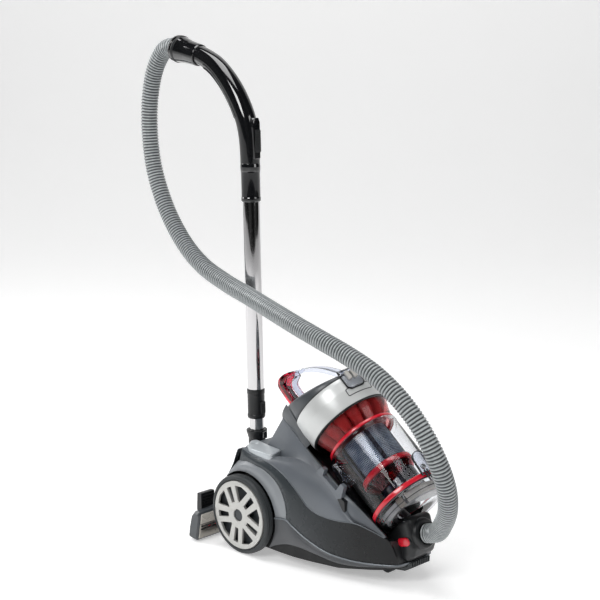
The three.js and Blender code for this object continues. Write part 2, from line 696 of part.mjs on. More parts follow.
const motor = group(vacuum, [MOTOR_X, 0, MOTOR_Z]);
motor.rotation.x = -Math.PI / 2;
piece(motor, "motor_case", motorCase(), STEEL, 0.4, 1);
piece(motor, "motor_fan", motorFan(), SATIN_BLACK, 0.5);
piece(motor, "cord_reel", cordReel(), SATIN_BLACK, 0.6);
piece(motor, "reel_shaft", turned([[0, 4], [6, 4], [6, 96], [0, 96]], 20), STEEL, 0.3, 1);

addWheel("right");
addWheel("left");
piece(vacuum, "caster_fork", casterFork(), SATIN_BLACK, 0.5);
piece(vacuum, "caster_wheel", casterWheel(), RUBBER, 0.7);

const bin = group(vacuum, BIN_START.toArray(), BIN_TURN);
piece(bin, "bin_cover", binCover(), BODY_GREY, 0.45);
piece(bin, "silver_band", turned(shellRing([[BAND_RADIUS, -58], [BAND_RADIUS + 0.5, -30],
  [87.5, 0.5]], 3), 36), SILVER, 0.3, 0.6);
piece(bin, "cyclone_body", cycloneBody(), 0x8c2f38, 0.25, 0, 0.7);
piece(bin, "bin_ring", turned([[67, 38.3], [74, 38.3], [74, 43.7], [67, 43.7]], 26), RED, 0.3);
piece(bin, "dust_bin", dustBin(), CLEAR, 0.1, 0, 0.35);
piece(bin, "mesh_filter", turned([[50, 44], [52, 44], [52, 117], [50, 117]], 26), STEEL, 0.4, 1);
piece(bin, "filter_skirt", turned([[30, 117.3], [52, 117.3], [58, 124], [58, 127], [36, 152],
  [33, 152], [53, 127], [50, 120.3], [30, 120.3]], 26), RED, 0.35);
piece(bin, "lid_gasket", turned([[72, 190], [79, 190], [79, 195], [72, 195]], 26), RED, 0.5);
piece(bin, "bottom_lid", bottomLid(), CLEAR, 0.1, 0, 0.4);
piece(bin, "lid_pin", rod([84, -11.7, 199], [84, 11.7, 199], 2.6, 16), STEEL, 0.3, 1);
piece(bin, "foam_filter", turned([[0, -57], [78, -57], [78, -48], [0, -48]], 40), FOAM, 0.95);
piece(bin, "lid_latch", lidLatch(), CLEAR, 0.1, 0, 0.5);
piece(vacuum, "carry_handle", carryHandle(), CLEAR, 0.1, 0, 0.5);
piece(vacuum, "handle_trigger", sideSlab(TRIGGER, -13, 13), RED, 0.3);

const wand = group(vacuum, [WAND_FOOT, 0, 0], -WAND_LEAN);
piece(wand, "hand_grip", handGrip(), GLOSS_BLACK, 0.25);
piece(wand, "grip_cuff", gripCuff(), GLOSS_BLACK, 0.25);
piece(wand, "suction_slider", block(23 + GAP, 28, -7, 7, 800, 846), SATIN_BLACK, 0.45);
piece(wand, "outer_tube", turned(shellRing([[TUBE_RADIUS, COLLAR_HIGH + GAP], [TUBE_RADIUS, 760]],
  1), 28), CHROME, 0.12, 1);
piece(wand, "tube_collar", turned([[15.9, COLLAR_LOW], [18.9, COLLAR_LOW], [18.9, COLLAR_HIGH],
  [15.9, COLLAR_HIGH]], 28), CHROME, 0.15, 1);
piece(wand, "tube_lock_button", block(19 + GAP, 24, -6, 6, 250, 276), SATIN_BLACK, 0.4);
piece(wand, "inner_tube", turned(shellRing([[INNER_TUBE_RADIUS, 151], [INNER_TUBE_RADIUS, 640]],
  1.5), 28), CHROME, 0.15, 1);
piece(wand, "nozzle_neck", neck(), SATIN_BLACK, 0.45);
piece(wand, "neck_latch", block(22 + GAP, 27, -5, 5, 196, 211), SATIN_BLACK, 0.45);
piece(wand, "nozzle_shell", nozzleShell(), BODY_GREY, 0.45);
piece(wand, "sole_plate", solePlate(), CHROME, 0.2, 1);
piece(wand, "nozzle_pedal", block(-40, -37, -24, 24, 60, 90), SATIN_BLACK, 0.5);

// The parts so far fix where the middle is: the origin lies on the floor under it.
const reach = new THREE.Box3().setFromObject(vacuum, true);
piece(vacuum, "hose", bar(HOSE_ROUTE, HOSE_RADIUS, 8, 56), HOSE_GREY, 0.6);
vacuum.position.x = -(reach.min.x + reach.max.x) / 2;

export default vacuum;
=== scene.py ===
import math

import bmesh
import bpy
import numpy as np
from mathutils import Matrix, Vector


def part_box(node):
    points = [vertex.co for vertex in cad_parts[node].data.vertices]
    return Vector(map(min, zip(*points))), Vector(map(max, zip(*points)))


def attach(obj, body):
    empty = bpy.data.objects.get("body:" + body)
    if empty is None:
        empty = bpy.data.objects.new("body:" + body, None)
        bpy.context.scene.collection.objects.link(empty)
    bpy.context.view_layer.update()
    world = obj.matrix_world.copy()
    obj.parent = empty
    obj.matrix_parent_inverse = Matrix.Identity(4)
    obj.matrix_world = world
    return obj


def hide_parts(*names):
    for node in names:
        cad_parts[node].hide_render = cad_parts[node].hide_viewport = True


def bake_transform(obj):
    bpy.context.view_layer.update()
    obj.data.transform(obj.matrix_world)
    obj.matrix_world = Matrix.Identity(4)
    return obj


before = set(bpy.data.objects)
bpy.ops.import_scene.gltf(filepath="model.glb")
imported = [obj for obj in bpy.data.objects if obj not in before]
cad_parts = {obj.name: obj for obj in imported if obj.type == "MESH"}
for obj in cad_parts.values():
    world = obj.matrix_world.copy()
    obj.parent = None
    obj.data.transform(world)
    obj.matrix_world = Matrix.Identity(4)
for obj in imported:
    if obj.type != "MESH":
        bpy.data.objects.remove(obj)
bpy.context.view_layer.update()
SCENE = bpy.context.scene

# Tables below are in millimetres, x forward and z up from the floor point under the rear axle.
AXLE_X = (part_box("tyre_right")[0][0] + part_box("tyre_right")[1][0]) / 2


def at(x, y, z):
    return Vector((AXLE_X + x / 1000, y / 1000, z / 1000))


def put(place, x, y, z):
    """A point of place's own frame, given in mm."""
    return place @ Vector((x / 1000, y / 1000, z / 1000))


# ---------------------------------------------------------------- curves and outlines

def through(points, count):
    """A smooth centripetal curve through points, as count points evenly spaced along it."""
    p = np.array(points, float)
    p = np.vstack([2 * p[0] - p[1], p, 2 * p[-1] - p[-2]])
    fine = []
    for i in range(1, len(p) - 2):
        knots = [0.0]
        for a, b in zip(p[i - 1:i + 2], p[i:i + 3]):
            knots.append(knots[-1] + max(1e-6, np.linalg.norm(b - a)) ** 0.5)
        t0, t1, t2, t3 = knots
        t = np.linspace(t1, t2, 24, endpoint=False)[:, None]
        a1 = (t1 - t) / (t1 - t0) * p[i - 1] + (t - t0) / (t1 - t0) * p[i]
        a2 = (t2 - t) / (t2 - t1) * p[i] + (t - t1) / (t2 - t1) * p[i + 1]
        a3 = (t3 - t) / (t3 - t2) * p[i + 1] + (t - t2) / (t3 - t2) * p[i + 2]
        b1 = (t2 - t) / (t2 - t0) * a1 + (t - t0) / (t2 - t0) * a2
        b2 = (t3 - t) / (t3 - t1) * a2 + (t - t1) / (t3 - t1) * a3
        fine.extend((t2 - t) / (t2 - t1) * b1 + (t - t1) / (t2 - t1) * b2)
    fine.append(p[-2])
    return along(fine, count)


def along(points, count):
    """count points evenly spaced along a polyline."""
    p = np.array(points, float)
    run = np.concatenate([[0], np.cumsum(np.linalg.norm(np.diff(p, axis=0), axis=1))])
    want = np.linspace(0, run[-1], count)
    return np.stack([np.interp(want, run, p[:, k]) for k in range(p.shape[1])], axis=1)


def evened(outline, count):
    """A closed outline as count points evenly spaced along it."""
    return along([*outline, outline[0]], count + 1)[:-1]


def rounded(corners, radius, steps=5):
    """A closed 2-D outline with its corners rounded. A corner may carry its own radius."""
    out = []
    n = len(corners)
    for i in range(n):
        here = np.array(corners[i][:2], float)
        before = np.array(corners[i - 1][:2], float) - here
        after = np.array(corners[(i + 1) % n][:2], float) - here
        size = corners[i][2] if len(corners[i]) > 2 else radius
        la, lb = np.linalg.norm(before), np.linalg.norm(after)
        turn = math.acos(max(-1, min(1, before @ after / (la * lb))))
        cut = min(size / max(math.tan(turn / 2), 1e-3), 0.48 * la, 0.48 * lb)
        if size <= 0 or turn > 3.1:
            out.append(here)
            continue
        a, b = here + before / la * cut, here + after / lb * cut
        for k in range(steps + 1):
            t = k / steps
            out.append((1 - t) ** 2 * a + 2 * t * (1 - t) * here + t * t * b)
    return out


def circle(radius, count):
    return [(radius * math.cos(2 * math.pi * i / count), radius * math.sin(2 * math.pi * i / count))
            for i in range(count)]


def oblong(x0, x1, y0, y1, radius, steps=3):
    """A rectangle's outline with rounded corners."""
    return rounded([(x0, y0), (x1, y0), (x1, y1), (x0, y1)], radius, steps)


def smooth(t):
    """An even step from 0 to 1, with soft ends."""
    t = max(0.0, min(1.0, t))
    return t * t * (3 - 2 * t)


# ---------------------------------------------------------------- meshes

def mesh_data(name, verts, faces, mat):
    """A smooth-shaded mesh with one material."""
    data = bpy.data.meshes.new(name)
    data.from_pydata([tuple(v) for v in verts], [], faces)
    data.materials.append(mat)
    for face in data.polygons:
        face.use_smooth = True
    return data


def add_object(name, data):
    obj = bpy.data.objects.new(name, data)
    SCENE.collection.objects.link(obj)
    return obj


def piece(name, verts, faces, mat, body, slot, nodes=(), bevel=0.0, angle=35):
    """One named piece, its vertices in metres. bevel is in millimetres."""
    data = mesh_data(name, verts, faces, mat)
    work = bmesh.new()
    work.from_mesh(data)
    bmesh.ops.remove_doubles(work, verts=work.verts, dist=2e-6)
    bmesh.ops.recalc_face_normals(work, faces=work.faces)
    work.to_mesh(data)
    work.free()
    if bevel == 0:
        data.set_sharp_from_angle(angle=math.radians(angle))
    obj = add_object(name, data)
    if bevel:
        cut = obj.modifiers.new("edges", "BEVEL")
        cut.width = bevel / 1000
        cut.segments = 3
        cut.limit_method = "ANGLE"
        cut.angle_limit = math.radians(angle)
        cut.harden_normals = True
    if body:
        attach(obj, body)
    if nodes:
        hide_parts(*([nodes] if isinstance(nodes, str) else nodes))
    return obj


def rings(loops, closed=False, caps=True):
    """Vertices and faces of a skin over loops of equal length. closed joins the last loop to the first."""
    n = len(loops[0])
    verts = [v for loop in loops for v in loop]
    faces = []
    count = len(loops)
    for i in range(count if closed else count - 1):
        j = (i + 1) % count
        for k in range(n):
            m = (k + 1) % n
            faces.append((i * n + k, i * n + m, j * n + m, j * n + k))
    if caps and not closed:
        faces.append(tuple(range(n - 1, -1, -1)))
        faces.append(tuple((count - 1) * n + k for k in range(n)))
    return verts, faces


def skin(rows):
    """Vertices and faces of an open skin over rows of equal length."""
    n = len(rows[0])
    verts = [v for row in rows for v in row]
    faces = [(i * n + k, i * n + k + 1, (i + 1) * n + k + 1, (i + 1) * n + k)
             for i in range(len(rows) - 1) for k in range(n - 1)]
    return verts, faces


def frame_between(outer, inner, place, low, high):
    """A frame between two outlines of equal length, from low to high along place's z."""
    return rings([[put(place, x, y, z) for x, y in line] for line, z in
                  ((outer, low), (outer, high), (inner, high), (inner, low))], closed=True)


def lathe(profile, place, steps=96):
    """A closed outline of (radius, height) in mm, turned round place's z axis."""
    loops = []
    for i in range(steps):
        a = 2 * math.pi * i / steps
        loops.append([put(place, r * math.cos(a), r * math.sin(a), z) for r, z in profile])
    return rings(loops, closed=True)


def prism(outline, place, low, high):
    """An outline in mm in place's x and y, from low to high along its z."""
    return rings([[put(place, x, y, z) for x, y in outline] for z in (low, high)])


def sweep(path, section, side=(0, 1, 0)):
    """A closed section swept along path (mm). section(t) gives (across, up) pairs, t from 0 to 1."""
    p = np.array(path, float)
    tangents = np.gradient(p, axis=0)
    loops = []
    for i, point in enumerate(p):
        t = tangents[i] / np.linalg.norm(tangents[i])
        a = np.array(side, float)
        a -= a @ t * t
        a /= np.linalg.norm(a)
        b = np.cross(t, a)
        loops.append([at(*(point + u * a + v * b)) for u, v in section(i / (len(p) - 1))])
    return rings(loops)


def tube(path, radius, sides=16):
    """A tube along path (mm) with frames that don't twist. radius may be a list."""
    p = np.array(path, float)
    tangents = np.gradient(p, axis=0)
    tangents /= np.linalg.norm(tangents, axis=1)[:, None]
    a = np.cross(tangents[0], [0.1, 1, 0.05])
    a /= np.linalg.norm(a)
    loops = []
    for i, point in enumerate(p):
        a = a - a @ tangents[i] * tangents[i]
        a /= np.linalg.norm(a)
        b = np.cross(tangents[i], a)
        r = radius[i] if hasattr(radius, "__len__") else radius
        loops.append([at(*(point + r * (math.cos(w) * a + math.sin(w) * b)))
                      for w in (2 * math.pi * k / sides for k in range(sides))])
    return rings(loops)


def joined(*made):
    """Several (vertices, faces) as one."""
    verts, faces = [], []
    for v, f in made:
        base = len(verts)
        verts.extend(v)
        faces.extend(tuple(base + i for i in face) for face in f)
    return verts, faces


def mirrored(made):
    """(vertices, faces) mirrored from one side of the machine to the other."""
    verts, faces = made
    return [Vector((v[0], -v[1], v[2])) for v in verts], [f[::-1] for f in faces]


def sheet(top, bottom, left=None, right=None, cols=60, rows=12, bulge=(0, 0, 0), inward=(0, 3, 0),
          curved=True):
    """A panel between two long lines and two short ones (mm), bulged in its middle, with a thickness."""
    line = through if curved else along
    hi, lo = line(top, cols), line(bottom, cols)
    le = along([bottom[0], top[0]], rows) if left is None else through(left, rows)
    ri = along([bottom[-1], top[-1]], rows) if right is None else through(right, rows)
    u = np.linspace(0, 1, cols)[None, :, None]
    v = np.linspace(0, 1, rows)[:, None, None]
    front = (1 - v) * lo[None] + v * hi[None] + (1 - u) * le[:, None] + u * ri[:, None]
    front -= ((1 - u) * (1 - v) * lo[0] + u * (1 - v) * lo[-1]
              + (1 - u) * v * hi[0] + u * v * hi[-1])
    swell = np.sin(np.pi * v) * np.minimum(1, 6 * np.minimum(u, 1 - u)) ** 0.7
    front = front + swell * np.array(bulge, float)
    back = front + np.array(inward, float)
    verts, faces = skin([[at(*q) for q in row] for row in front])
    total = rows * cols
    verts += [at(*q) for q in back.reshape(-1, 3)]
    faces += [tuple(total + k for k in reversed(quad)) for quad in faces]
    last = total - cols
    edge = [*range(cols), *range(2 * cols - 1, total, cols), *range(total - 2, last - 1, -1),
            *range(last - cols, 0, -cols)]
    for a, b in zip(edge, edge[1:] + edge[:1]):
        faces.append((b, a, total + a, total + b))
    return verts, faces


def both_sides(name, made, mat, body, slot, nodes=None, **more):
    """A piece on the right (-y) side and its mirror image on the left."""
    for side, shape in (("right", made), ("left", mirrored(made))):
        kept = tuple(n + "_" + side for n in nodes) if nodes else ()
        piece(name + "_" + side, *shape, mat, body, slot, kept, **more)


# ---------------------------------------------------------------- materials

def colour(r, g, b):
    """A screen colour, 0 to 255, as linear light."""
    lin = [c / 255 / 12.92 if c <= 10 else ((c / 255 + 0.055) / 1.055) ** 2.4 for c in (r, g, b)]
    return (*lin, 1.0)


class Nodes:
    """A small helper that builds one procedural Principled material."""

    def __init__(self, name):
        self.mat = bpy.data.materials.new(name)
        self.mat.use_nodes = True
        self.tree = self.mat.node_tree
        self.shader = self.tree.nodes["Principled BSDF"]
        self.coords = self.add("ShaderNodeTexCoord")

    def add(self, kind, **values):
        node = self.tree.nodes.new(kind)
        for key, value in values.items():
            setattr(node, key, value)
        return node

    def link(self, a, b):
        self.tree.links.new(a, b)

    def math(self, kind, a, b=None):
        node = self.add("ShaderNodeMath", operation=kind)
        for i, x in enumerate((a, b)):
            if x is None:
                continue
            if hasattr(x, "is_linked"):
                self.link(x, node.inputs[i])
            else:
                node.inputs[i].default_value = x
        return node.outputs[0]

    def noise(self, scale, detail=3.0, stretch=None):
        node = self.add("ShaderNodeTexNoise")
        node.inputs["Scale"].default_value = scale
        node.inputs["Detail"].default_value = detail
        source = self.coords.outputs["Object"]
        if stretch:
            mapping = self.add("ShaderNodeMapping")
            mapping.inputs["Scale"].default_value = stretch
            self.link(source, mapping.inputs["Vector"])
            source = mapping.outputs["Vector"]
        self.link(source, node.inputs["Vector"])
        return node.outputs["Fac"]

    def spread(self, value, low, high, start=0.3, end=0.7):
        node = self.add("ShaderNodeMapRange")
        self.link(value, node.inputs["Value"])
        node.inputs["From Min"].default_value = start
        node.inputs["From Max"].default_value = end
        node.inputs["To Min"].default_value = low
        node.inputs["To Max"].default_value = high
        return node.outputs["Result"]

    def blend(self, factor, one, two):
        node = self.add("ShaderNodeMix", data_type="RGBA")
        self.link(factor, node.inputs["Factor"])
        for key, x in ((6, one), (7, two)):
            if hasattr(x, "is_linked"):
                self.link(x, node.inputs[key])
            else:
                node.inputs[key].default_value = x
        return node.outputs[2]

    def bump(self, value, strength, distance):
        node = self.add("ShaderNodeBump")
        node.inputs["Strength"].default_value = strength
        node.inputs["Distance"].default_value = distance
        self.link(value, node.inputs["Height"])
        self.link(node.outputs["Normal"], self.shader.inputs["Normal"])
        return node

    def set(self, **values):
        for key, value in values.items():
            self.shader.inputs[key.replace("_", " ")].default_value = value


def plastic(name, tint, rough, vary=0.12, grain=1500, depth=0.00006, spread=0.05, metal=0.0, **more):
    """Moulded plastic: fine grain, slow changes of tint, and a little uneven gloss from handling."""
    n = Nodes(name)
    dark = tuple(c * (1 - vary) for c in tint[:3]) + (1,)
    pale = tuple(min(1, c * (1 + vary)) for c in tint[:3]) + (1,)
    n.link(n.blend(n.spread(n.noise(9, 4), 0, 1), dark, pale), n.shader.inputs["Base Color"])
    n.link(n.spread(n.noise(38, 5), max(0.01, rough - spread), rough + spread),
           n.shader.inputs["Roughness"])
    n.bump(n.noise(grain, 2), 0.35, depth)
    n.set(Metallic=metal)
    n.set(**more)
    return n.mat


def clear(name, tint, rough=0.03, ior=1.46, **more):
    """Clear or tinted see-through plastic with faint smears and moulding waves."""
    n = Nodes(name)
    pale = tuple(min(1, c * 1.04) for c in tint[:3]) + (1,)
    n.link(n.blend(n.spread(n.noise(14, 3), 0, 1), tint, pale), n.shader.inputs["Base Color"])
    n.link(n.spread(n.noise(30, 4), rough * 0.5, rough * 1.8), n.shader.inputs["Roughness"])
    n.bump(n.noise(25, 2), 0.12, 0.0006)
    n.set(IOR=ior, Transmission_Weight=1.0)
    n.set(**more)
    return n.mat


def metal(name, tint, rough, stretch=(1, 1, 1), scale=60, depth=0.00003, spread=0.06, vary=0.06, **more):
    """Metal with a drawn or brushed grain along one direction."""
    n = Nodes(name)
    dark = tuple(c * (1 - vary) for c in tint[:3]) + (1,)
    grain = n.noise(scale, 5, stretch)
    n.link(n.blend(n.spread(grain, 0, 1), dark, tint), n.shader.inputs["Base Color"])
    n.link(n.spread(grain, max(0.02, rough - spread), rough + spread), n.shader.inputs["Roughness"])
    n.bump(grain, 0.3, depth)
    n.set(Metallic=1.0)
    n.set(**more)
    return n.mat


def perforated(name):
    """Perforated steel: staggered punched holes laid out on the UV map, in millimetres."""
    n = Nodes(name)
    split = n.add("ShaderNodeSeparateXYZ")
    n.link(n.coords.outputs["UV"], split.inputs[0])
    pitch = 4.0
    row = n.math("DIVIDE", split.outputs["Y"], pitch * 0.87)
    odd = n.math("MULTIPLY", n.math("MODULO", n.math("FLOOR", row), 2.0), 0.5)
    col = n.math("ADD", n.math("DIVIDE", split.outputs["X"], pitch), odd)
    dx = n.math("SUBTRACT", n.math("FRACT", col), 0.5)
    dy = n.math("SUBTRACT", n.math("FRACT", row), 0.5)
    away = n.math("SQRT", n.math("ADD", n.math("MULTIPLY", dx, dx), n.math("MULTIPLY", dy, dy)))
    hole = n.spread(away, 1, 0, 0.30, 0.38)
    steel = n.blend(n.spread(n.noise(50), 0, 1), colour(104, 118, 140), colour(168, 178, 192))
    n.link(n.blend(hole, steel, colour(14, 20, 36)), n.shader.inputs["Base Color"])
    n.link(n.spread(hole, 0.6, 0.0, 0, 1), n.shader.inputs["Metallic"])
    n.link(n.spread(hole, 0.42, 0.9, 0, 1), n.shader.inputs["Roughness"])
    n.bump(n.math("SUBTRACT", 1.0, hole), 0.6, 0.0004)
    return n.mat


BODY = plastic("body_slate", colour(86, 91, 96), 0.42, grain=1900, Coat_Weight=0.15, Coat_Roughness=0.35)
# A lighter copy of the body slate: painted light on the shoulders, fins, saddle wall and clamps.
BODY_LIT = plastic("body_slate_lit", colour(98, 103, 109), 0.36, grain=1900,
                     Coat_Weight=0.12, Coat_Roughness=0.35)
SKIRT = plastic("skirt_satin", colour(74, 76, 79), 0.44, grain=1900, Coat_Weight=0.1,
                Coat_Roughness=0.4)
# A still lighter copy of the body slate: painted light on the fenders over the rear wheels.
FENDER_LIT = plastic("fender_satin_lit", colour(134, 138, 142), 0.36, grain=1900, Coat_Weight=0.15,
                 Coat_Roughness=0.3)


def side_gloss():
    """The side panel's gloss black plastic, slate behind from a painted reflection, deepening to near black
    at the nose.
    """
    n = Nodes("side_gloss")
    split = n.add("ShaderNodeSeparateXYZ")
    n.link(n.coords.outputs["Object"], split.inputs[0])
    # The slate colour behind is a painted reflection on the gloss black; it fades to the panel's own near
    # black towards the nose.
    run = n.spread(split.outputs["X"], 0, 1, AXLE_X + 0.08, AXLE_X + 0.28)
    painted_sheen = n.blend(n.spread(n.noise(11, 4), 0, 1), colour(56, 61, 64), colour(62, 67, 71))
    n.link(n.blend(run, painted_sheen, colour(14, 16, 18)), n.shader.inputs["Base Color"])
    n.link(n.spread(n.noise(38, 5), 0.24, 0.32), n.shader.inputs["Roughness"])
    n.bump(n.noise(900, 2), 0.2, 0.00002)
    n.set(Coat_Weight=0.08, Coat_Roughness=0.14, Specular_IOR_Level=0.28)
    return n.mat


GLOSS = side_gloss()
BLACK = plastic("satin_black", colour(22, 24, 26), 0.38)
UNDER = plastic("under_black", colour(18, 19, 21), 0.6, depth=0.0001)
PIANO = plastic("gloss_black", colour(16, 17, 19), 0.10, grain=400, depth=0.00001, spread=0.04,
                Coat_Weight=1.0, Coat_Roughness=0.04)
COVER = plastic("cover_slate", colour(64, 68, 72), 0.36, grain=2100, Coat_Weight=0.2,
                Coat_Roughness=0.3)
RUBBER = plastic("tyre_rubber", colour(42, 46, 48), 0.5, grain=1200, depth=0.00012)
SILVER = plastic("silver_paint", colour(190, 190, 186), 0.34, vary=0.03, grain=2600, metal=0.35,
                 Coat_Weight=0.25, Coat_Roughness=0.2)
PEDAL = plastic("pedal_silver", colour(188, 194, 198), 0.36, vary=0.03, metal=0.2, Coat_Weight=0.2,
                Coat_Roughness=0.25)
HUB_DARK = plastic("hub_dark", colour(50, 54, 57), 0.45)
# A lighter satin; on the trim and crease beads it paints highlight lines.
EDGE = plastic("edge_satin", colour(104, 109, 114), 0.32, metal=0.2)
BAND = plastic("band_silver", colour(208, 210, 209), 0.36, vary=0.03, grain=2400, metal=0.25,
               Coat_Weight=0.2, Coat_Roughness=0.2)
CHROME = metal("chrome_tube", colour(205, 204, 205), 0.07, stretch=(1, 1, 0.02), scale=240,
               depth=0.000004, spread=0.03, vary=0.03)
# The chrome sole as pale cream, half-metallic plastic: its own silver tone plus a painted reflection of the
# pale room.
SOLE = plastic("sole_plate", colour(214, 209, 200), 0.3, vary=0.04, metal=0.35, Coat_Weight=0.3,
               Coat_Roughness=0.15)
STEEL = metal("turned_steel", colour(176, 178, 180), 0.28)
RED = plastic("red_plastic", colour(206, 24, 44), 0.22, vary=0.08, Coat_Weight=0.6,
              Coat_Roughness=0.08, Subsurface_Weight=0.08, Subsurface_Radius=(0.004, 0.001, 0.001))
MAGENTA = clear("magenta_clear", colour(222, 26, 62), 0.06, ior=1.35, Coat_Weight=0.3)
CYCLONE = clear("cyclone_red", colour(226, 152, 152), 0.06, ior=1.3)
CONES = plastic("cyclone_cones", colour(206, 134, 138), 0.3, vary=0.14)
CYCLONE_CORE = plastic("cyclone_core", colour(150, 66, 68), 0.5)
CLEAR = clear("clear_bin", colour(240, 241, 243), 0.02, ior=1.28)
CLEAR_BLUE = clear("clear_handle", colour(222, 226, 236), 0.03, ior=1.36)
NAVY = plastic("navy_core", colour(18, 20, 38), 0.25, Coat_Weight=0.5, Coat_Roughness=0.1)
DUCT = plastic("duct_grey", colour(196, 193, 188), 0.35)
LID_GREY = plastic("lid_grey", colour(158, 158, 160), 0.3, Coat_Weight=0.3)
STRIP = plastic("lid_strip_beige", colour(150, 140, 130), 0.4)
DUCT_DARK = plastic("duct_dark", colour(60, 60, 64), 0.3)
MESH = perforated("perforated_steel")
FOAM = plastic("filter_foam", colour(60, 62, 66), 0.95, grain=700, depth=0.0008)
PAPER = plastic("filter_paper", colour(226, 224, 216), 0.9, grain=500, depth=0.0003)
BRISTLE = plastic("bristle", colour(44, 42, 42), 0.85, grain=4000, depth=0.0006)


def hose_material():
    """Ribbed hose plastic: a painted highlight on the crests of the ribs, and painted shade down between
    them.
    """
    n = Nodes("hose_ribbed")
    # A vertex attribute marks each rib's crest, where the pale painted highlight goes; the dark tone between
    # the ribs is painted shade.
    painted_sheen = n.add("ShaderNodeAttribute", attribute_name="crest_highlight")
    body = n.blend(n.spread(n.noise(30, 4), 0, 1), colour(40, 44, 46), colour(54, 59, 61))
    crest_highlight = n.blend(n.spread(n.noise(160, 3), 0, 1), colour(158, 163, 165), colour(186, 191, 192))
    n.link(n.blend(painted_sheen.outputs["Fac"], body, crest_highlight), n.shader.inputs["Base Color"])
    n.link(n.spread(n.noise(70, 4), 0.28, 0.42), n.shader.inputs["Roughness"])
    n.bump(n.noise(1400, 2), 0.3, 0.00005)
    n.set(Coat_Weight=0.2, Coat_Roughness=0.3, Metallic=0.1)
    return n.mat


HOSE = hose_material()

# ---------------------------------------------------------------- camera

camera = add_object("camera", bpy.data.cameras.new("camera"))
camera.location = at(2122.2, -2097.2, 1154.4)
camera.rotation_euler = Vector((-0.6897, 0.6923, -0.2122)).to_track_quat("-Z", "Y").to_euler()
camera.data.lens = 90
camera.data.sensor_width = 36
SCENE.camera = camera

# ---------------------------------------------------------------- the hose

HOSE_ROUTE = [
    (-335, 0, 1001.8), (-354, 0, 1004), (-376, 0, 996), (-396, 0, 975), (-413, 0, 945),
    (-424, 0, 910), (-431, 0, 865), (-430, 0, 800), (-414, -2, 731), (-368, -8, 652),
    (-300, -18, 588), (-228, -30, 551), (-135, -44, 527), (-53, -60, 515), (41, -84, 503),
    (132, -106, 491), (211, -117, 477), (278, -118, 460), (341, -117, 438), (398, -114, 404),
    (437, -109, 367), (463, -100, 325), (478, -85, 276), (478, -67, 232), (462, -44, 185),
    (432, -20, 144), (408, -5, 118.6), (390, 0, 110.2), (373.7, 0, 105.4),
]
HOSE_PITCH = 6.6
# Outer radius and strength of the painted crest highlight across one rib.
RIB = [(16.6, 0.0), (17.0, 0.1), (18.6, 0.85), (19.0, 1.0), (18.6, 0.85), (17.0, 0.1)]


def make_hose():
    rough = through(HOSE_ROUTE[::-1], 2000)
    length = float(np.sum(np.linalg.norm(np.diff(rough, axis=0), axis=1)))
    ribs = round(length / HOSE_PITCH)
    path = along(rough, ribs * len(RIB) + 1)
    radius = [RIB[i % len(RIB)][0] for i in range(len(path))]
    # How strongly each ring takes the painted highlight on the rib's crest.
    crest_highlight = [RIB[i % len(RIB)][1] for i in range(len(path))]
    sides = 28
    verts, faces = tube(path, radius, sides)
    hose = piece("hose_ribbed", verts, faces, HOSE, None, "hose_grey", "hose", angle=80)
    values = hose.data.attributes.new("crest_highlight", "FLOAT", "POINT")
    values.data.foreach_set("value", np.repeat(crest_highlight, sides)[:len(hose.data.vertices)])
    return hose


hose = make_hose()

# ---------------------------------------------------------------- the body shell

def ring_arc(radius, start, end, y, count=18):
    """Points on a circle about the rear axle, degrees from the nose direction, up first."""
    out = []
    for i in range(count):
        a = math.radians(start + (end - start) * i / (count - 1))
        across = y + 2.0 * math.sin(math.pi * i / (count - 1))
        out.append((radius * math.cos(a), -across, 82 + radius * math.sin(a)))
    return out


TRIM = [(86.3, -125, 93), (101, -124, 96), (116, -122, 96), (132, -119, 85), (163, -113, 67),
        (209, -103, 49), (259, -88, 42), (301, -72, 42), (335, -56, 44)]
CREASE = [(-20, -114, 214), (5, -116, 208), (27, -117, 205), (65, -118, 201), (97, -118, 190),
          (123, -117, 174), (148, -116, 153), (168, -114, 135), (193, -110, 125), (235, -101, 121),
          (273, -92, 123), (302, -80, 114), (326, -66, 101)]
SKIRT_LOW = [(64, -121, 22), (78, -121, 31), (110, -119, 43), (140, -116, 45), (186, -106, 38),
             (228, -94, 30), (269, -80, 31), (308, -64, 37)]
FIN_LOW = [(2, -64, 211), (30, -72, 207), (58, -80, 206), (99, -86, 214), (137, -90, 214),
           (183, -92, 202), (226, -90, 175), (246, -88, 146), (264, -86, 124), (299, -77, 112),
           (326, -66, 101)]
FIN_TOP = [(48, -64, 280), (79, -70, 265), (106, -74, 248), (146, -79, 225), (181, -83, 207),
           (215, -84, 186), (249, -82, 164), (282, -76, 141), (327, -64, 103)]
FENDER_OUT = [(-23, -118, 187), (3, -120, 191), (29, -122, 189), (55, -122, 184), (90, -122, 165),
              (109, -122, 136), (115, -122, 112), (116, -122, 96)]
ARCH = ring_arc(87, 134, 7, 123)
REAR_EDGE = [(-60.4, -122, 144.6), (-42, -117, 171), (-30, -115, 184), (-23, -118, 187)]

NOSE_TRIM = [(347, -46, 45), (353, -32, 46), (356, -16, 46), (357, 0, 46)]
NOSE_LOW = [(328, -54, 38), (341, -42, 38), (348, -28, 38), (351, -14, 38), (352, 0, 38)]

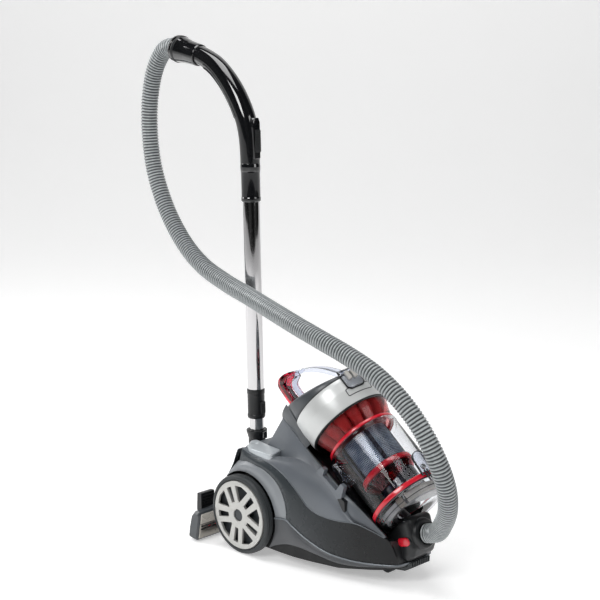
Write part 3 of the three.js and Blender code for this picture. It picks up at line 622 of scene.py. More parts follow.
both_sides("fender_skin", sheet(FENDER_OUT, ARCH, left=REAR_EDGE, cols=56, rows=12,
                                bulge=(0, -4, 1), inward=(0, 4, 0)),
           FENDER_LIT, "canister", "body_grey", ["fender"])
side_low = FENDER_OUT + TRIM[3:] + [(347, -48, 46)]
side_top = CREASE + [(335, -60, 93)]
side_front = [(347, -48, 46), (345, -52, 62), (340, -56, 79), (335, -60, 93)]
both_sides("side_skin", sheet(side_top, side_low, right=side_front, cols=110, rows=20, bulge=(0, -4, 0),
                              inward=(0, 4, 0)),
           GLOSS, "canister", "gloss_black", ["side_panel"])
skirt_left = [(64, -121, 22), (79, -124, 46), (86.5, -125, 70), (86.3, -125, 93)]
both_sides("skirt_skin", sheet(TRIM + NOSE_TRIM, SKIRT_LOW + NOSE_LOW, left=skirt_left, cols=100,
                               rows=12, bulge=(0, -3, -1), inward=(-0.5, 3.5, 0.5)),
           SKIRT, "canister", "body_grey")
# The skirt's rolled lip; its lighter satin paints a highlight line along it.
both_sides("trim_bead", tube(through(TRIM + NOSE_TRIM, 110) + np.array([0, -0.6, 0]), 1.9, 10),
           EDGE, "canister", "body_grey")
# A thin tube laid along the crease only to carry a painted highlight line.
both_sides("crease_highlight_bead", tube(through(CREASE, 90) + np.array([0, 0.2, -0.4]), 1.1, 8),
           EDGE, "canister", "body_grey")
shoulder_top = FIN_LOW[:9]
shoulder_low = CREASE[:11]
both_sides("shoulder_skin", sheet(shoulder_top, shoulder_low, cols=80, rows=16,
                                  bulge=(0, -4, 6), inward=(0, 3, -3)),
           BODY_LIT, "canister", "body_grey")
both_sides("fin_skin", sheet(FIN_TOP, FIN_LOW, cols=80, rows=14, bulge=(0, -1.5, 0),
                             inward=(0, 3, -1)),
           BODY_LIT, "canister", "body_grey", ["cradle_fin"])

# The bin's own frame: x down and back, z along its axis towards the nose.
BIN = Matrix((
    (-0.6207, 0, 0.784, AXLE_X + 0.17515),
    (0, 1, 0, 0),
    (-0.784, 0, -0.6207, 0.2836),
    (0, 0, 0, 1),
))


def in_bin(point):
    """A point in mm as (x, y, s) in the bin's frame."""
    v = BIN.inverted() @ at(*point)
    return v.x * 1000, v.y * 1000, v.z * 1000


def from_bin(x, y, s):
    """A point of the bin's frame as the tables write it, in mm."""
    v = put(BIN, x, y, s)
    return ((v.x - AXLE_X) * 1000, v.y * 1000, v.z * 1000)


def make_cradle():
    """The fins' top rims and the black trough under the bin."""
    top = through(FIN_TOP, 90)
    rows = 22
    columns = []
    for point in top:
        x, y, s = in_bin(point)
        radius = math.hypot(x, y)
        angle = math.atan2(-y, x)
        floor = min(95.5 - 11 * smooth((s - 2) / 42), radius - 2)
        column = [tuple(point), from_bin(x * (1 - 3 / radius), y * (1 - 3 / radius), s)]
        for k in range(rows):
            t = k / (rows - 1)
            a = angle * (1 - t)
            r = floor + (radius - 3 - floor) * (1 - t) ** 9
            column.append(from_bin(r * math.cos(a), -r * math.sin(a), s))
        column += [(x, -y, z) for x, y, z in reversed(column[:-1])]
        columns.append([at(*p) for p in column])
    piece("bin_trough", *skin(columns), BLACK, "canister", "satin_black", "upper_housing")
    for side, made in (("right", top), ("left", top * np.array([1, -1, 1]))):
        piece("fin_rim_" + side, *tube(made, 1.3, 8), EDGE, "canister", "body_grey")


make_cradle()


def make_rear():
    """The deck between the pedals, the rear wall and the saddle that climbs to the bin."""
    spine = [(-72.5, 97), (-72.5, 130), (-71, 160), (-67, 184), (-57, 200), (-38, 207), (-12, 210),
             (3, 211)]
    wing = [(-62, 97), (-61, 122), (-60, 146), (-50, 163), (-42, 178), (-34, 198), (-28, 210),
            (-20, 214)]
    loops = []
    for i in range(61):
        y = -118 + 236 * i / 60
        t = smooth((abs(y) - 60) / 58)
        line = through([((1 - t) * a[0] + t * b[0], y, (1 - t) * a[1] + t * b[1])
                        for a, b in zip(spine, wing)], 40)
        loops.append([at(*q) for q in line])
    piece("rear_deck", *skin(loops), BODY, "canister", "body_grey")
    lines = []
    for i in range(41):
        y = -64 + 3.2 * i
        dip = 1 - (y / 64) ** 2
        x = math.sqrt(95.5 ** 2 - y * y)
        lines.append([at(2, y, 211), at(48 - 6 * dip, y, 280 - 8 * dip), put(BIN, x, y, -95),
                      put(BIN, x, y, -60)])
    piece("saddle_wall", *skin(lines), BODY_LIT, "canister", "body_grey")
    line = through(FIN_TOP, 90)[:25]
    for side, sign in (("right", -1), ("left", 1)):
        grid = []
        for i, point in enumerate(line):
            x, y, s = in_bin(point)
            t = i / 24
            row = []
            for k in range(13):
                w = k / 12
                a = math.atan2(-y, x) + math.radians(32 - 27 * t) * w
                r = math.hypot(x, y) * (1 - w) + 90.4 * w + 1.2 * math.sin(math.pi * w) * (1 - t)
                row.append(put(BIN, r * math.cos(a), sign * r * math.sin(a), s))
            grid.append(row)
        piece("saddle_lip_" + side, *skin(grid), COVER, "canister", "body_grey")


make_rear()


def make_nose():
    """The sill between the fins' front ends and the hose connector."""
    lines = []
    for i in range(31):
        y = -62 + 124 * i / 30
        middle = 1 - abs(y) / 62
        lines.append([put(BIN, math.sqrt(84.5 ** 2 - y * y), y, 214),
                      at(335 + 9 * middle, y * 0.96, 95 - 12 * middle),
                      at(347 + 8 * middle, y * 0.77, 47)])
    piece("nose_sill", *skin(lines), BLACK, "canister", "satin_black")


make_nose()

# ---------------------------------------------------------------- wheels

def flat_with_holes(name, outer, holes, depth, bevel):
    """A flat plate with holes as (vertices, faces) in mm, centred on z = 0."""
    shape = bpy.data.curves.new(name + "_outline", "CURVE")
    shape.dimensions = "2D"
    shape.fill_mode = "BOTH"
    shape.extrude = (depth / 2 - bevel)
    shape.bevel_depth = bevel
    shape.bevel_resolution = 2
    for loop in [outer, *holes]:
        line = shape.splines.new("POLY")
        line.points.add(len(loop) - 1)
        for p, (x, y) in zip(line.points, loop):
            p.co = (x, y, 0, 1)
        line.use_cyclic_u = True
    holder = bpy.data.objects.new(name + "_outline", shape)
    data = bpy.data.meshes.new_from_object(holder)
    verts = [tuple(v.co) for v in data.vertices]
    faces = [tuple(f.vertices) for f in data.polygons]
    bpy.data.objects.remove(holder)
    bpy.data.curves.remove(shape)
    bpy.data.meshes.remove(data)
    return verts, faces


def spun(points, angle):
    """Points turned about the origin."""
    c, s = math.cos(angle), math.sin(angle)
    return [(c * x - s * y, s * x + c * y) for x, y in points]


def make_wheel(side):
    sign = -1 if side == "right" else 1
    centre = at(0, 0, 82)
    # Local x forward, local y up, local z outwards along the axle.
    place = Matrix(((1, 0, 0, centre.x), (0, 0, sign, 0), (0, 1, 0, centre.z), (0, 0, 0, 1)))
    body = "wheel_" + side
    tread = [(71.5, 120), (75, 119), (79, 121, 2), (82, 126), (82, 137), (80.5, 141.4, 2),
             (77.5, 143), (74.2, 143.2), (73.2, 141.5), (71.2, 141.2), (71, 128)]
    grooves = [(82, 127.4, 0.3), (81.2, 127.8, 0.3), (81.2, 128.8, 0.3), (82, 129.2, 0.3),
               (82, 131.4, 0.3), (81.2, 131.8, 0.3), (81.2, 132.8, 0.3), (82, 133.2, 0.3)]
    profile = rounded(tread[:4] + grooves + tread[4:], 1.6, 3)
    piece("tyre_tread_" + side, *lathe(profile, place, 128), RUBBER, body, "rubber_black",
          "tyre_" + side)
    slot = rounded([(27, -5.2), (60.5, -7.6), (60.5, 7.6), (27, 5.2)], 3, 4)
    window = rounded([(21.5, 15.6), (59, 17), (51.5, 37), (37, 50), (21.5, 20)], 2.6, 4)
    holes = []
    for i in range(5):
        a = 2 * math.pi * i / 5 + math.radians(46)
        holes += [spun(slot, a), spun(window, a)]
    holes.append(circle(13.6, 40))
    verts, faces = flat_with_holes("hub_" + side, circle(69.6, 128), holes, 6.0, 0.9)
    verts = [put(place, x, y, z + 141.4 + 1.6 * (1 - (math.hypot(x, y) / 70) ** 2)) for x, y, z in verts]
    piece("hub_face_" + side, verts, faces, SILVER, body, "silver_trim", "hub_cap_" + side)
    dish = rounded([(0, 126), (66, 126), (70, 122, 0.5), (70.4, 122, 0.5), (70.4, 139, 0.5),
                    (68.6, 139, 0.5), (66, 132), (18, 131), (14, 133), (12.6, 139), (0, 139.4)], 1, 3)
    piece("hub_dish_" + side, *lathe(dish, place, 72), HUB_DARK, body, "satin_black")
    disc = rounded([(0, 138), (13.8, 138), (13.8, 142.2), (12.8, 143), (0, 143.4)], 0.5, 3)
    piece("hub_centre_" + side, *lathe(disc, place, 40), HUB_DARK, body, "satin_black")
    lip = rounded([(14.2, 137), (17.4, 137), (17.4, 144.6), (15.8, 145), (14.2, 143.4)], 0.8, 3)
    piece("hub_lip_" + side, *lathe(lip, place, 48), SILVER, body, "silver_trim")


make_wheel("right")
make_wheel("left")

# ---------------------------------------------------------------- pedals, connector, bumper

PEDAL_SHAPE = [(0, -113), (66, -115), (54, -75), (-34, -62), (-36, -74), (-16, -103)]


def outward(outline):
    """An outline's points, its middle, and unit vectors from the middle to the points."""
    pts = np.array(outline)
    away = pts - pts.mean(axis=0)
    return pts, pts.mean(axis=0), away / np.linalg.norm(away, axis=1)[:, None]


def crowned(outline, low, top, crown, edge, dimple=None):
    """A cushion-topped plate: outline in mm, its top shrinking in over a rounded edge.

    A dimple is its x, its y, its radius and its depth.
    """
    pts, centre, unit = outward(outline)
    levels = [(0.0, low), (0.0, top - edge)]
    for k in range(1, 6):
        a = k / 5 * math.pi / 2
        levels.append((edge * (1 - math.cos(a)), top - edge + edge * math.sin(a)))
    loops = [[at(x, y, z) for x, y in pts - unit * shrink] for shrink, z in levels]
    for k in range(1, 10):
        f = 1 - k / 10
        loop = []
        for x, y in centre + (pts - centre - unit * edge) * f:
            z = top + crown * (1 - f * f)
            if dimple:
                gap = math.hypot(x - dimple[0], y - dimple[1])
                z -= dimple[3] * max(0, 1 - (gap / dimple[2]) ** 2) ** 2
            loop.append(at(x, y, z))
        loops.append(loop)
    return rings(loops)


pedal_line = evened(rounded(PEDAL_SHAPE, 9, 6), 119)
pedal_plate = crowned(pedal_line, 203, 217.2, 1.2, 3.2, dimple=(-14, -82, 9, 2.6))
base_line = [(x * 1.05 - 1, (y + 90) * 1.07 - 90) for x, y in pedal_line]
pedal_base = crowned(base_line, 199, 206.4, 0, 1.2)
pedal_base = ([Vector((v.x, v.y, v.z - 0.085 * (v.x - AXLE_X - 0.03))) for v in pedal_base[0]],
              pedal_base[1])
for word, plate, base in (("power", pedal_plate, pedal_base),
                          ("rewind", mirrored(pedal_plate), mirrored(pedal_base))):
    piece(word + "_pedal_pad", *plate, PEDAL, word + "_pedal", "silver_trim", word + "_pedal")
    piece(word + "_pedal_tray", *base, EDGE, "canister", "body_grey")

CONNECTOR = [(306, 56), (304, 96), (312, 110), (331, 127), (346, 136), (357, 136), (366, 112),
             (375, 80), (370, 63), (358, 51), (330, 44)]
SOCKET = np.array([358.7, 0, 101.1])
AIM = np.array([0.96, 0, 0.28])
SIDE_ON = Matrix(((1, 0, 0, AXLE_X), (0, 0, 1, 0), (0, 1, 0, 0), (0, 0, 0, 1)))


def pill_slab(outline, half, edge, steps=6):
    """An outline in x and z, from -half to half in y, with its long edges rounded by edge."""
    pts, _, unit = outward(outline)
    loops = []
    for sign, order in ((-1, range(steps + 1)), (1, range(steps, -1, -1))):
        for k in order:
            a = k / steps * math.pi / 2
            y = sign * (half - edge + edge * math.cos(a))
            loops.append([at(x, y, z) for x, z in pts - unit * edge * (1 - math.sin(a))])
    return rings(loops)


def axis_place(origin, direction):
    """A frame with its z along direction, from a point in mm."""
    turn = Vector(direction).normalized().to_track_quat("Z", "Y").to_matrix().to_4x4()
    return Matrix.Translation(at(*origin)) @ turn


connector_line = evened(rounded(CONNECTOR, 9, 6), 129)
piece("connector_body", *pill_slab(connector_line, 36, 11), BLACK, "canister", "satin_black",
      "connector_block", angle=50)
mouth = axis_place(SOCKET, AIM)
funnel = rounded([(20.4, -8), (27, -12), (29.6, -6), (31, 4), (31, 10), (29, 15.4),
                  (26.4, 17.4), (21.2, 17.4), (20.4, 14)], 1.8, 4)
piece("hose_socket_ring", *lathe(funnel, mouth, 72), BLACK, "canister", "satin_black", "hose_collar")


def tilted_pill(length, height, steps=12):
    """The release button's outline in x and z, its half length and half height given."""
    out = []
    c, s = math.cos(math.radians(17)), math.sin(math.radians(17))
    for i in range(steps * 2):
        a = math.pi * (i + 0.5) / steps - math.pi / 2
        run = math.copysign(length - height, steps - i - 0.5) + height * math.cos(a)
        rise = height * math.sin(a)
        out.append((350.5 + c * run - s * rise, 91 + s * run + c * rise))
    return out


def button(outline, y0, y1, crown):
    """A domed button facing -y."""
    pts = np.array(outline)
    centre = pts.mean(axis=0)
    loops = [[at(x, y0, z) for x, z in pts]]
    for k in range(9):
        a = k / 9 * math.pi / 2
        shrunk = centre + (pts - centre) * (0.55 + 0.45 * math.cos(a))
        loops.append([at(x, y1 - crown * math.sin(a), z) for x, z in shrunk])
    return rings(loops)


piece("hose_release_cap", *button(tilted_pill(15, 8.6), -33.8, -37.6, 2.4), RED, "hose_release",
      "red_plastic", "hose_release_button")
well, inner = tilted_pill(16.9, 10.4), tilted_pill(15.5, 9.1)
piece("hose_release_rim", *rings([[at(x, y, z) for x, z in line] for line, y in
                                  ((well, -33), (well, -36.6), (inner, -36.9), (inner, -33))], closed=True),
      BLACK, "canister", "satin_black")

bumper_base = rounded([(318, 26.5), (345, 30), (359, 38.5), (360.5, 48), (357, 48), (355, 38),
                       (318, 32)], 2, 3)
bumper_rib = rounded([(322, 25), (346, 28.4), (361.8, 37.4), (362.4, 48.8), (358.6, 49.2), (357.6, 38.6),
                      (344, 30.8), (322, 28)], 1.5, 3)
rib_verts, rib_faces = pill_slab(bumper_rib, 1.6, 0.7, 2)
bumper_ribs = [([v + Vector((0, i * 0.0066, 0)) for v in rib_verts], rib_faces) for i in range(-4, 5)]
piece("nose_bumper_ribs", *joined(pill_slab(bumper_base, 29, 4), *bumper_ribs), RUBBER, "canister",
      "rubber_black", "nose_bumper")

# ---------------------------------------------------------------- the bin

def bin_piece(name, profile, mat, slot, nodes=(), radius=1.0, steps=128):
    """A piece of the bin turned about its axis, from an outline of (radius, s) with rounded corners."""
    piece(name, *lathe(rounded(profile, radius, 3), BIN, steps), mat, "bin", slot, nodes)


def make_cover():
    """The motor-side cover: a round cap with a slanted, softly domed top."""
    steps = 120
    loops = []
    for i in range(steps):
        a = 2 * math.pi * i / steps
        lean = -0.26 * math.cos(a)
        edge = -85 + lean * 89
        line = [(84, -58.6), (88.2, -58.6), (89.2, -60)]
        line += [(89.2, -60 + (edge + 65) * k / 4) for k in range(1, 5)]
        line += [(86.2 + 3 * math.cos(w), edge + 5 - 6 * math.sin(w)) for w in
                 (math.pi / 2 * k / 5 for k in range(1, 6))]
        for k in range(11):
            r = 84.6 * (1 - k / 10)
            line.append((r, -85 + lean * r - 1.4 - 7 * (1 - (r / 84.6) ** 2)))
        loops.append([put(BIN, r * math.cos(a), r * math.sin(a), s) for r, s in line])
    piece("bin_cover_shell", *skin(loops + loops[:1]), COVER, "bin", "body_grey", "bin_cover", angle=60)


make_cover()
bin_piece("bin_cover_seam", [(86, -59.4), (90.6, -59.4), (91.4, -58.6), (91.4, -57.4), (86, -57.4)],
          BLACK, "satin_black", radius=0.3)
bin_piece("silver_band_shell", [(88, -57.2), (91.2, -57.2), (91.7, -50), (91.5, -30), (87.7, 0),
                                (85, 0.4), (84.6, -4), (88, -30)], BAND, "silver_trim", "silver_band",
          radius=0.8)
bin_piece("band_seam", [(80, -1), (87.6, 0.4), (87.2, 2.4), (84.6, 3.4), (80, 3.4)], BLACK,
          "satin_black", radius=0.4)
bin_piece("cyclone_shell", [(84.2, 3.4), (80.6, 16), (76.4, 28), (73.4, 36.4), (70.6, 36.4), (73.6, 28),
                            (77.8, 16), (81.4, 3.4)], CYCLONE, "red_clear", "cyclone_body",
          radius=0.6)


def make_cones():
    """The ring of small cyclone cones behind the tinted wall, and the core they stand round."""
    made = []
    count = 14
    for i in range(count):
        a = 2 * math.pi * (i + 0.3) / count
        profile = [(0, -6), (13.5, -6), (13.8, 4), (8.2, 37.4), (0, 37.4)]
        turn = Matrix.Translation(BIN @ Vector((0.062 * math.cos(a), 0.062 * math.sin(a), 0)))
        tilt = BIN.to_3x3().to_4x4() @ Matrix.Rotation(a, 4, "Z") @ Matrix.Rotation(-0.22, 4, "Y")
        made.append(lathe(rounded(profile, 1, 2), turn @ tilt, 24))
    piece("cyclone_cones", *joined(*made), CONES, "bin", "red_clear")
    bin_piece("cyclone_core", [(0, -2), (56, -2), (52, 36), (0, 36)], CYCLONE_CORE, "red_clear",
              steps=64)


make_cones()
bin_piece("bin_ring_red", [(68, 36.6), (73.6, 36.6), (75.6, 38.2), (76, 42.4), (74.6, 44), (68, 44)],
          RED, "red_plastic", "bin_ring", radius=0.8)
bin_piece("dust_bin_wall", [(72.8, 44.4), (75.4, 44.4), (77, 46), (77.4, 50), (76.6, 54), (78, 186.2),
                            (75.8, 186.2), (74.1, 54)], CLEAR, "clear_plastic", "dust_bin",
          radius=0.7)


def make_mesh_filter():
    """The perforated steel filter with plain dark seams, its holes laid out by UVs in millimetres."""
    steps, rows = 180, 24
    radius = 51.5
    wall, uvs = [], []
    for j in range(rows + 1):
        s = 44.5 + 72 * j / rows
        turn = [2 * math.pi * i / steps for i in range(steps + 1)]
        wall.append([put(BIN, -radius * math.cos(a), -radius * math.sin(a), s) for a in turn])
        uvs += [(radius * a, s) for a in turn]
    data = mesh_data("mesh_filter_wall", *skin(wall), MESH)
    layer = data.uv_layers.new(name="UVMap")
    for loop in data.loops:
        layer.data[loop.index].uv = uvs[loop.vertex_index]
    obj = add_object("mesh_filter_wall", data)
    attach(obj, "bin")
    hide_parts("mesh_filter")
    seams = []
    strip = [(50.6, -4.4), (52.3, -4.2), (52.7, 0), (52.3, 4.2), (50.6, 4.4)]
    for degrees in (-32, -104, -176, 112, 40):
        place = BIN @ Matrix.Rotation(math.radians(180 - degrees), 4, "Z")
        seams.append(prism(strip, place, 44.4, 117))
    piece("mesh_filter_seams", *joined(*seams), NAVY, "bin", "satin_black")


make_mesh_filter()
bin_piece("filter_skirt_red", [(49, 118), (54, 118.4), (58, 121.4), (58.6, 128.6), (57.4, 131.2),
                               (51, 131.6), (48.4, 128), (48.4, 121)], RED, "red_plastic",
          "filter_skirt", radius=1.4)
bin_piece("filter_skirt_cone", [(57, 131.8), (49, 145), (44, 158), (43, 158), (48, 144.6), (55.4, 131.8)],
          MAGENTA, "red_clear", radius=0.6)
core = rounded([(0, 122), (40, 122), (42, 150), (42, 184), (39, 190), (0, 190)], 2, 4)
piece("dust_core", *lathe(core, BIN @ Matrix.Translation((-0.006, 0.003, 0)), 80), NAVY, "bin",
      "satin_black")
bin_piece("lid_gasket_red", [(73.6, 186.8), (78.6, 186.8), (79.8, 188.6), (79.8, 194.4), (78.6, 196.2),
                             (73.6, 196.2)], RED, "red_plastic", "lid_gasket", radius=0.8)
bin_piece("lid_gasket_dark", [(74, 196.4), (78, 196.4), (78.6, 197.2), (78.6, 198.4), (74, 198.4)], NAVY,
          "satin_black", radius=0.3)
bin_piece("bottom_lid_shell", [(0, 219.4), (60, 219.4), (69.6, 213.4), (75.2, 206), (75.4, 198.6),
                               (78.2, 198.6), (78.2, 204), (76, 211), (72.8, 217), (64, 221.8), (0, 222)],
          CLEAR, "clear_plastic", "bottom_lid", radius=1.5)


def around_bin(radius, degrees):
    """x and y in the bin's frame, at an angle from the bin's upper side towards +y."""
    a = math.radians(degrees)
    return -radius * math.cos(a), radius * math.sin(a)


def arc_panel(r0, r1, a0, a1, s0, s1, steps=24):
    """A curved panel about the bin's axis, between two radii, two angles and two heights."""
    loops = []
    for i in range(steps + 1):
        degrees = a0 + (a1 - a0) * i / steps
        loops.append([put(BIN, *around_bin(r, degrees), s)
                      for r, s in ((r0, s0), (r1, s0), (r1, s1), (r0, s1))])
    return rings(loops)


def make_lid_inside():
    """The inlet duct and the pale baffle plate seen through the lid."""
    strips = [arc_panel(56, 65, -67, -55, 199.6, 216), arc_panel(52, 58, -55, -44, 199.6, 214)]
    end = [around_bin(60, -62 + 124 * i / 30) for i in range(31)]
    for name, made, mat, bevel in (
            ("lid_panel", arc_panel(61, 65.5, -49, 22, 199.6, 217), DUCT, 0.8),
            ("lid_side_panel", arc_panel(58, 62, -128, -70, 199.6, 216), LID_GREY, 0.8),
            ("lid_end_plate", prism(end, BIN, 216.4, 217.6), LID_GREY, 0.4),
            ("lid_strip", joined(*strips), STRIP, 0.8)):
        piece(name, *made, mat, "bin", "filter_white", bevel=bevel)
    piece("lid_divider", *arc_panel(58, 66, -54.4, -50, 199.4, 216.6), DUCT_DARK, "bin", "satin_black",
          bevel=0.5)
    line = [from_bin(*around_bin(71.6, -118 + 170 * i / 60), 212.6) for i in range(61)]
    line += [from_bin(*around_bin(r, 52), 216) for r in (66, 60)]
    piece("lid_seal_line", *tube(along(line, 80), 0.9, 8), DUCT_DARK, "bin", "satin_black")
    duct = rounded([(13, 192), (17, 192), (18, 219.2), (16, 219.2), (14, 196)], 0.8, 3)
    piece("inlet_duct", *lathe(duct, BIN @ Matrix.Translation((0.046, 0, 0)), 48), DUCT_DARK, "bin",
          "satin_black")


make_lid_inside()


def on_bin(degrees, s, radius):
    """The frame at an angle from the bin's upper side towards +y: x round it, y along it, z out."""
    out = Vector((*around_bin(1, degrees), 0))
    run = Vector((0, 0, 1))
    side = run.cross(out)
    m = Matrix((side, run, out)).transposed().to_4x4()
    m.translation = out * radius / 1000 + run * s / 1000
    return BIN @ m


def make_catch():
    """The clear catch that opens the lid, with its rim, pin and prongs."""
    half, length = 18, 50
    outer = [(half, length)] + [(half * math.cos(w), half - half * math.sin(w)) for w in
                                (math.pi * k / 16 for k in range(17))] + [(-half, length)]
    inner = [(x * 0.93, 1.3 + y * 0.972) for x, y in outer]
    place = on_bin(-1, 145, 86.2) @ Matrix.Rotation(math.radians(-5.2), 4, "X")
    piece("lid_catch", *prism(outer, place, 0, 3.2), CLEAR_BLUE, "lid_latch", "clear_plastic",
          "lid_latch", bevel=0.9)
    piece("lid_catch_rim", *frame_between(outer, inner, place, 3.2, 5.4), DUCT_DARK, "lid_latch",
          "satin_black")
    pin = [(0, 0), (5.6, 0), (5.6, 5), (4.2, 6.4), (2.2, 6.4), (1.8, 4.6), (0, 4.6)]
    piece("lid_catch_pin", *lathe(rounded(pin, 0.6, 3), on_bin(-2, 178, 81), 32), STEEL, "lid_latch",
          "steel")
    prongs = [prism(oblong(x, x + 3, 8, 34, 1), on_bin(-2, 176, 80.6), 0, 3) for x in (-5.5, 1.5)]
    piece("lid_catch_prongs", *joined(*prongs), DUCT_DARK, "lid_latch", "satin_black", bevel=0.5)


def make_handle_boss():
    """The clear boss on the silver band, where the handle's front end is held."""
    place = on_bin(-12, -68, 88)
    boss = rounded([(-20, 0), (20, 0), (20, 34), (14, 40), (-14, 40), (-20, 34)], 4, 4)
    outer = rounded([(-22, -3), (22, -3), (22, 36), (15, 43), (-15, 43), (-22, 36)], 4, 4)
    inner = rounded([(-19.6, -3), (19.6, -3), (19.6, 35), (13.8, 40.6), (-13.8, 40.6), (-19.6, 35)],
                    4, 4)
    lugs = [prism(oblong(x, x + 9, 5, 24, 1.6), place, 2, 12) for x in (-12, 2)]
    piece("handle_boss", *prism(boss, place, 0, 9), CLEAR_BLUE, "bin", "clear_plastic", bevel=1.6)
    piece("handle_boss_lugs", *joined(*lugs), DUCT, "bin", "silver_trim", bevel=1.0)
    piece("handle_boss_gasket", *frame_between(outer, inner, place, 2.6, 4.4), BLACK, "bin",
          "satin_black")


make_catch()
make_handle_boss()


def make_blank_plate():
    """A thin blank frame on the silver band, bent round it and following its taper."""
    outer = evened(oblong(-31, 31, 0, 16, 3, 4), 74)
    inner = evened(oblong(-29.6, 29.6, 1.4, 14.6, 2, 4), 74)
    radius, middle, low, taper_from = 91.6, -10, -31, -30
    loops = []
    for outline, height in ((outer, -0.4), (outer, 0.5), (inner, 0.5), (inner, -0.4)):
        loop = []
        for x, y in outline:
            r = radius + height - 0.13 * max(0, low + y - taper_from)
            loop.append(put(BIN, *around_bin(r, middle + math.degrees(x / radius)), low + y))
        loops.append(loop)
    piece("blank_plate_frame", *rings(loops, closed=True), DUCT_DARK, "bin", "silver_trim")


make_blank_plate()

# The clear lug on the bin's side, in its clamp on the cradle.
for side, sign in (("right", -1), ("left", 1)):
    lug = on_bin(sign * 114, 60, 76)
    shell = rounded([(-8, 0), (8, 0), (9, 40), (3, 58), (-8, 58)], 3, 4)
    core = rounded([(-6, 2), (6, 2), (7, 39), (2, 55.5), (-6, 55.5)], 2, 4)
    piece("bin_lug_" + side, *frame_between(shell, core, lug, 0, 11), CLEAR_BLUE, "bin",
          "clear_plastic", bevel=0.8)
    ribs = [prism(rounded([(-7, y), (7, y + 5), (7, y + 6.6), (-7, y + 1.6)], 0.4, 2), lug, 0, 10)
            for y in (12, 32)]
    piece("bin_lug_ribs_" + side, *joined(*ribs), CLEAR_BLUE, "bin", "clear_plastic")


clamp = rounded([(166, 192), (177, 209), (188, 217), (196, 213), (190, 201), (226, 179), (238, 195),
                 (247, 191), (240, 166), (222, 160)], 1.6, 3)
slot = rounded([(228, 172), (248, 160), (249, 139), (230, 145)], 1.6, 3)
both_sides("bin_clamp", prism(clamp, SIDE_ON, -96, -86), BODY_LIT, "canister", "body_grey", bevel=1.0)
both_sides("clamp_slot", prism(slot, SIDE_ON, -95, -84), BLACK, "canister", "satin_black", bevel=1.0)

# ---------------------------------------------------------------- handle and trigger

HANDLE = [(5, 0, 346), (16, 0, 353), (31, 0, 362), (66, 0, 373.5), (102, 0, 379.5), (140, 0, 379.5),
          (168, 0, 378)]


# The arch's section is a channel with its open side down.
ARCH_HALF, ARCH_RISE, ARCH_WALL, ARCH_EDGE = 12, 4.25, 2.2, 1.2
arch_side = [(ARCH_HALF - ARCH_EDGE, ARCH_RISE), (ARCH_HALF, ARCH_RISE - ARCH_EDGE), (ARCH_HALF, -ARCH_RISE),
             (ARCH_HALF - ARCH_WALL, -ARCH_RISE), (ARCH_HALF - ARCH_WALL, ARCH_RISE - ARCH_WALL)]
arch_section = arch_side + [(-x, y) for x, y in reversed(arch_side)]
piece("carry_handle_arch", *sweep(through(HANDLE, 70), lambda t: arch_section), CLEAR_BLUE, "bin",
      "clear_plastic", "carry_handle", angle=50)
TRIGGER = [(25, 0, 287), (7.5, 0, 301.5), (-8, 0, 315), (-16.6, 0, 325), (-15.5, 0, 336), (-3, 0, 348),
           (12, 0, 356)]


def bar(half, thick, edge=1.6):
    """A flat bar's section, thinner at both ends."""
    def section(t):
        rise = thick / 2 * min(1, 0.45 + 4 * min(t, 1 - t))
        return oblong(-half, half, -rise, rise, edge)
    return section


trigger_path = through(TRIGGER, 48)


def trigger_section(t):
    """A channel open towards the handle, shallower at both ends."""
    deep = 3 + 10 * min(1, 4.5 * min(t + 0.06, 1 - t))
    half = [(11.8, 2.8), (13, 1.6), (13, -deep), (11, -deep), (11, -1.4), (10, -2.4)]
    return [(-13, 1.6), (-11.8, 2.8), *half, (-10, -2.4), (-11, -1.4), (-11, -deep), (-13, -deep)]


piece("handle_trigger_skin", *sweep(trigger_path, trigger_section), MAGENTA, "handle_trigger",
      "red_clear", "handle_trigger", angle=50)
shade = trigger_path[5:42] + np.array([2.6, 0, 2.6])
piece("handle_trigger_shade", *sweep(shade, bar(10.5, 1.2, 0.4)), PIANO, "handle_trigger", "satin_black")
leg = [(58, 0, 298), (46, 0, 307), (33, 0, 316.5), (23, 0, 325), (19.6, 0, 333), (21, 0, 342),
       (27, 0, 352)]
sides = [(44, 0, 291), (32, 0, 301), (18, 0, 312), (8, 0, 322), (6, 0, 332), (10, 0, 341),
         (20, 0, 350)]
webs = [sweep(through(sides, 30) + np.array([3, y, 3]), bar(1.0, 13, 0.5)) for y in (-8.6, 8.6)]
piece("handle_leg", *joined(sweep(through(leg, 30), bar(9.6, 2.6)), *webs), CLEAR_BLUE, "bin",
      "clear_plastic")

# ---------------------------------------------------------------- wand, grip and nozzle

LEAN = math.radians(1.49)
WAND = Matrix.Translation(at(-90.84, 0, 0)) @ Matrix.Rotation(-LEAN, 4, "Y")


def wand_piece(name, outline, mat, body, slot, nodes=()):
    """A piece turned about the wand's axis."""
    piece(name, *lathe(outline, WAND, 64), mat, body, slot, nodes)


wand_piece("outer_tube_chrome", oblong(16.3, 17.5, 301.3, 760, 0.5), CHROME, "wand_upper", "chrome",
           "outer_tube")
wand_piece("inner_tube_chrome", oblong(14.3, 15.5, 151, 640, 0.5), CHROME, "wand_lower", "chrome",
           "inner_tube")
collar = [(15.8, 238.2), (17.6, 238.2), (18.9, 241), (18.9, 246), (18.1, 247.4), (18.1, 290),
          (18.9, 291.4), (18.9, 300), (15.8, 301)]
wand_piece("tube_collar_body", rounded(collar, 0.8, 3), BLACK, "wand_upper", "satin_black",
           "tube_collar")
sleeve = [(17.8, 698.3), (19.6, 698.3), (20.6, 700), (20.6, 706), (19.8, 708), (19.8, 760),
          (20.6, 762), (21, 770), (20.4, 777), (17.8, 777)]
wand_piece("grip_sleeve", rounded(sleeve, 0.8, 3), PIANO, "wand_upper", "gloss_black")

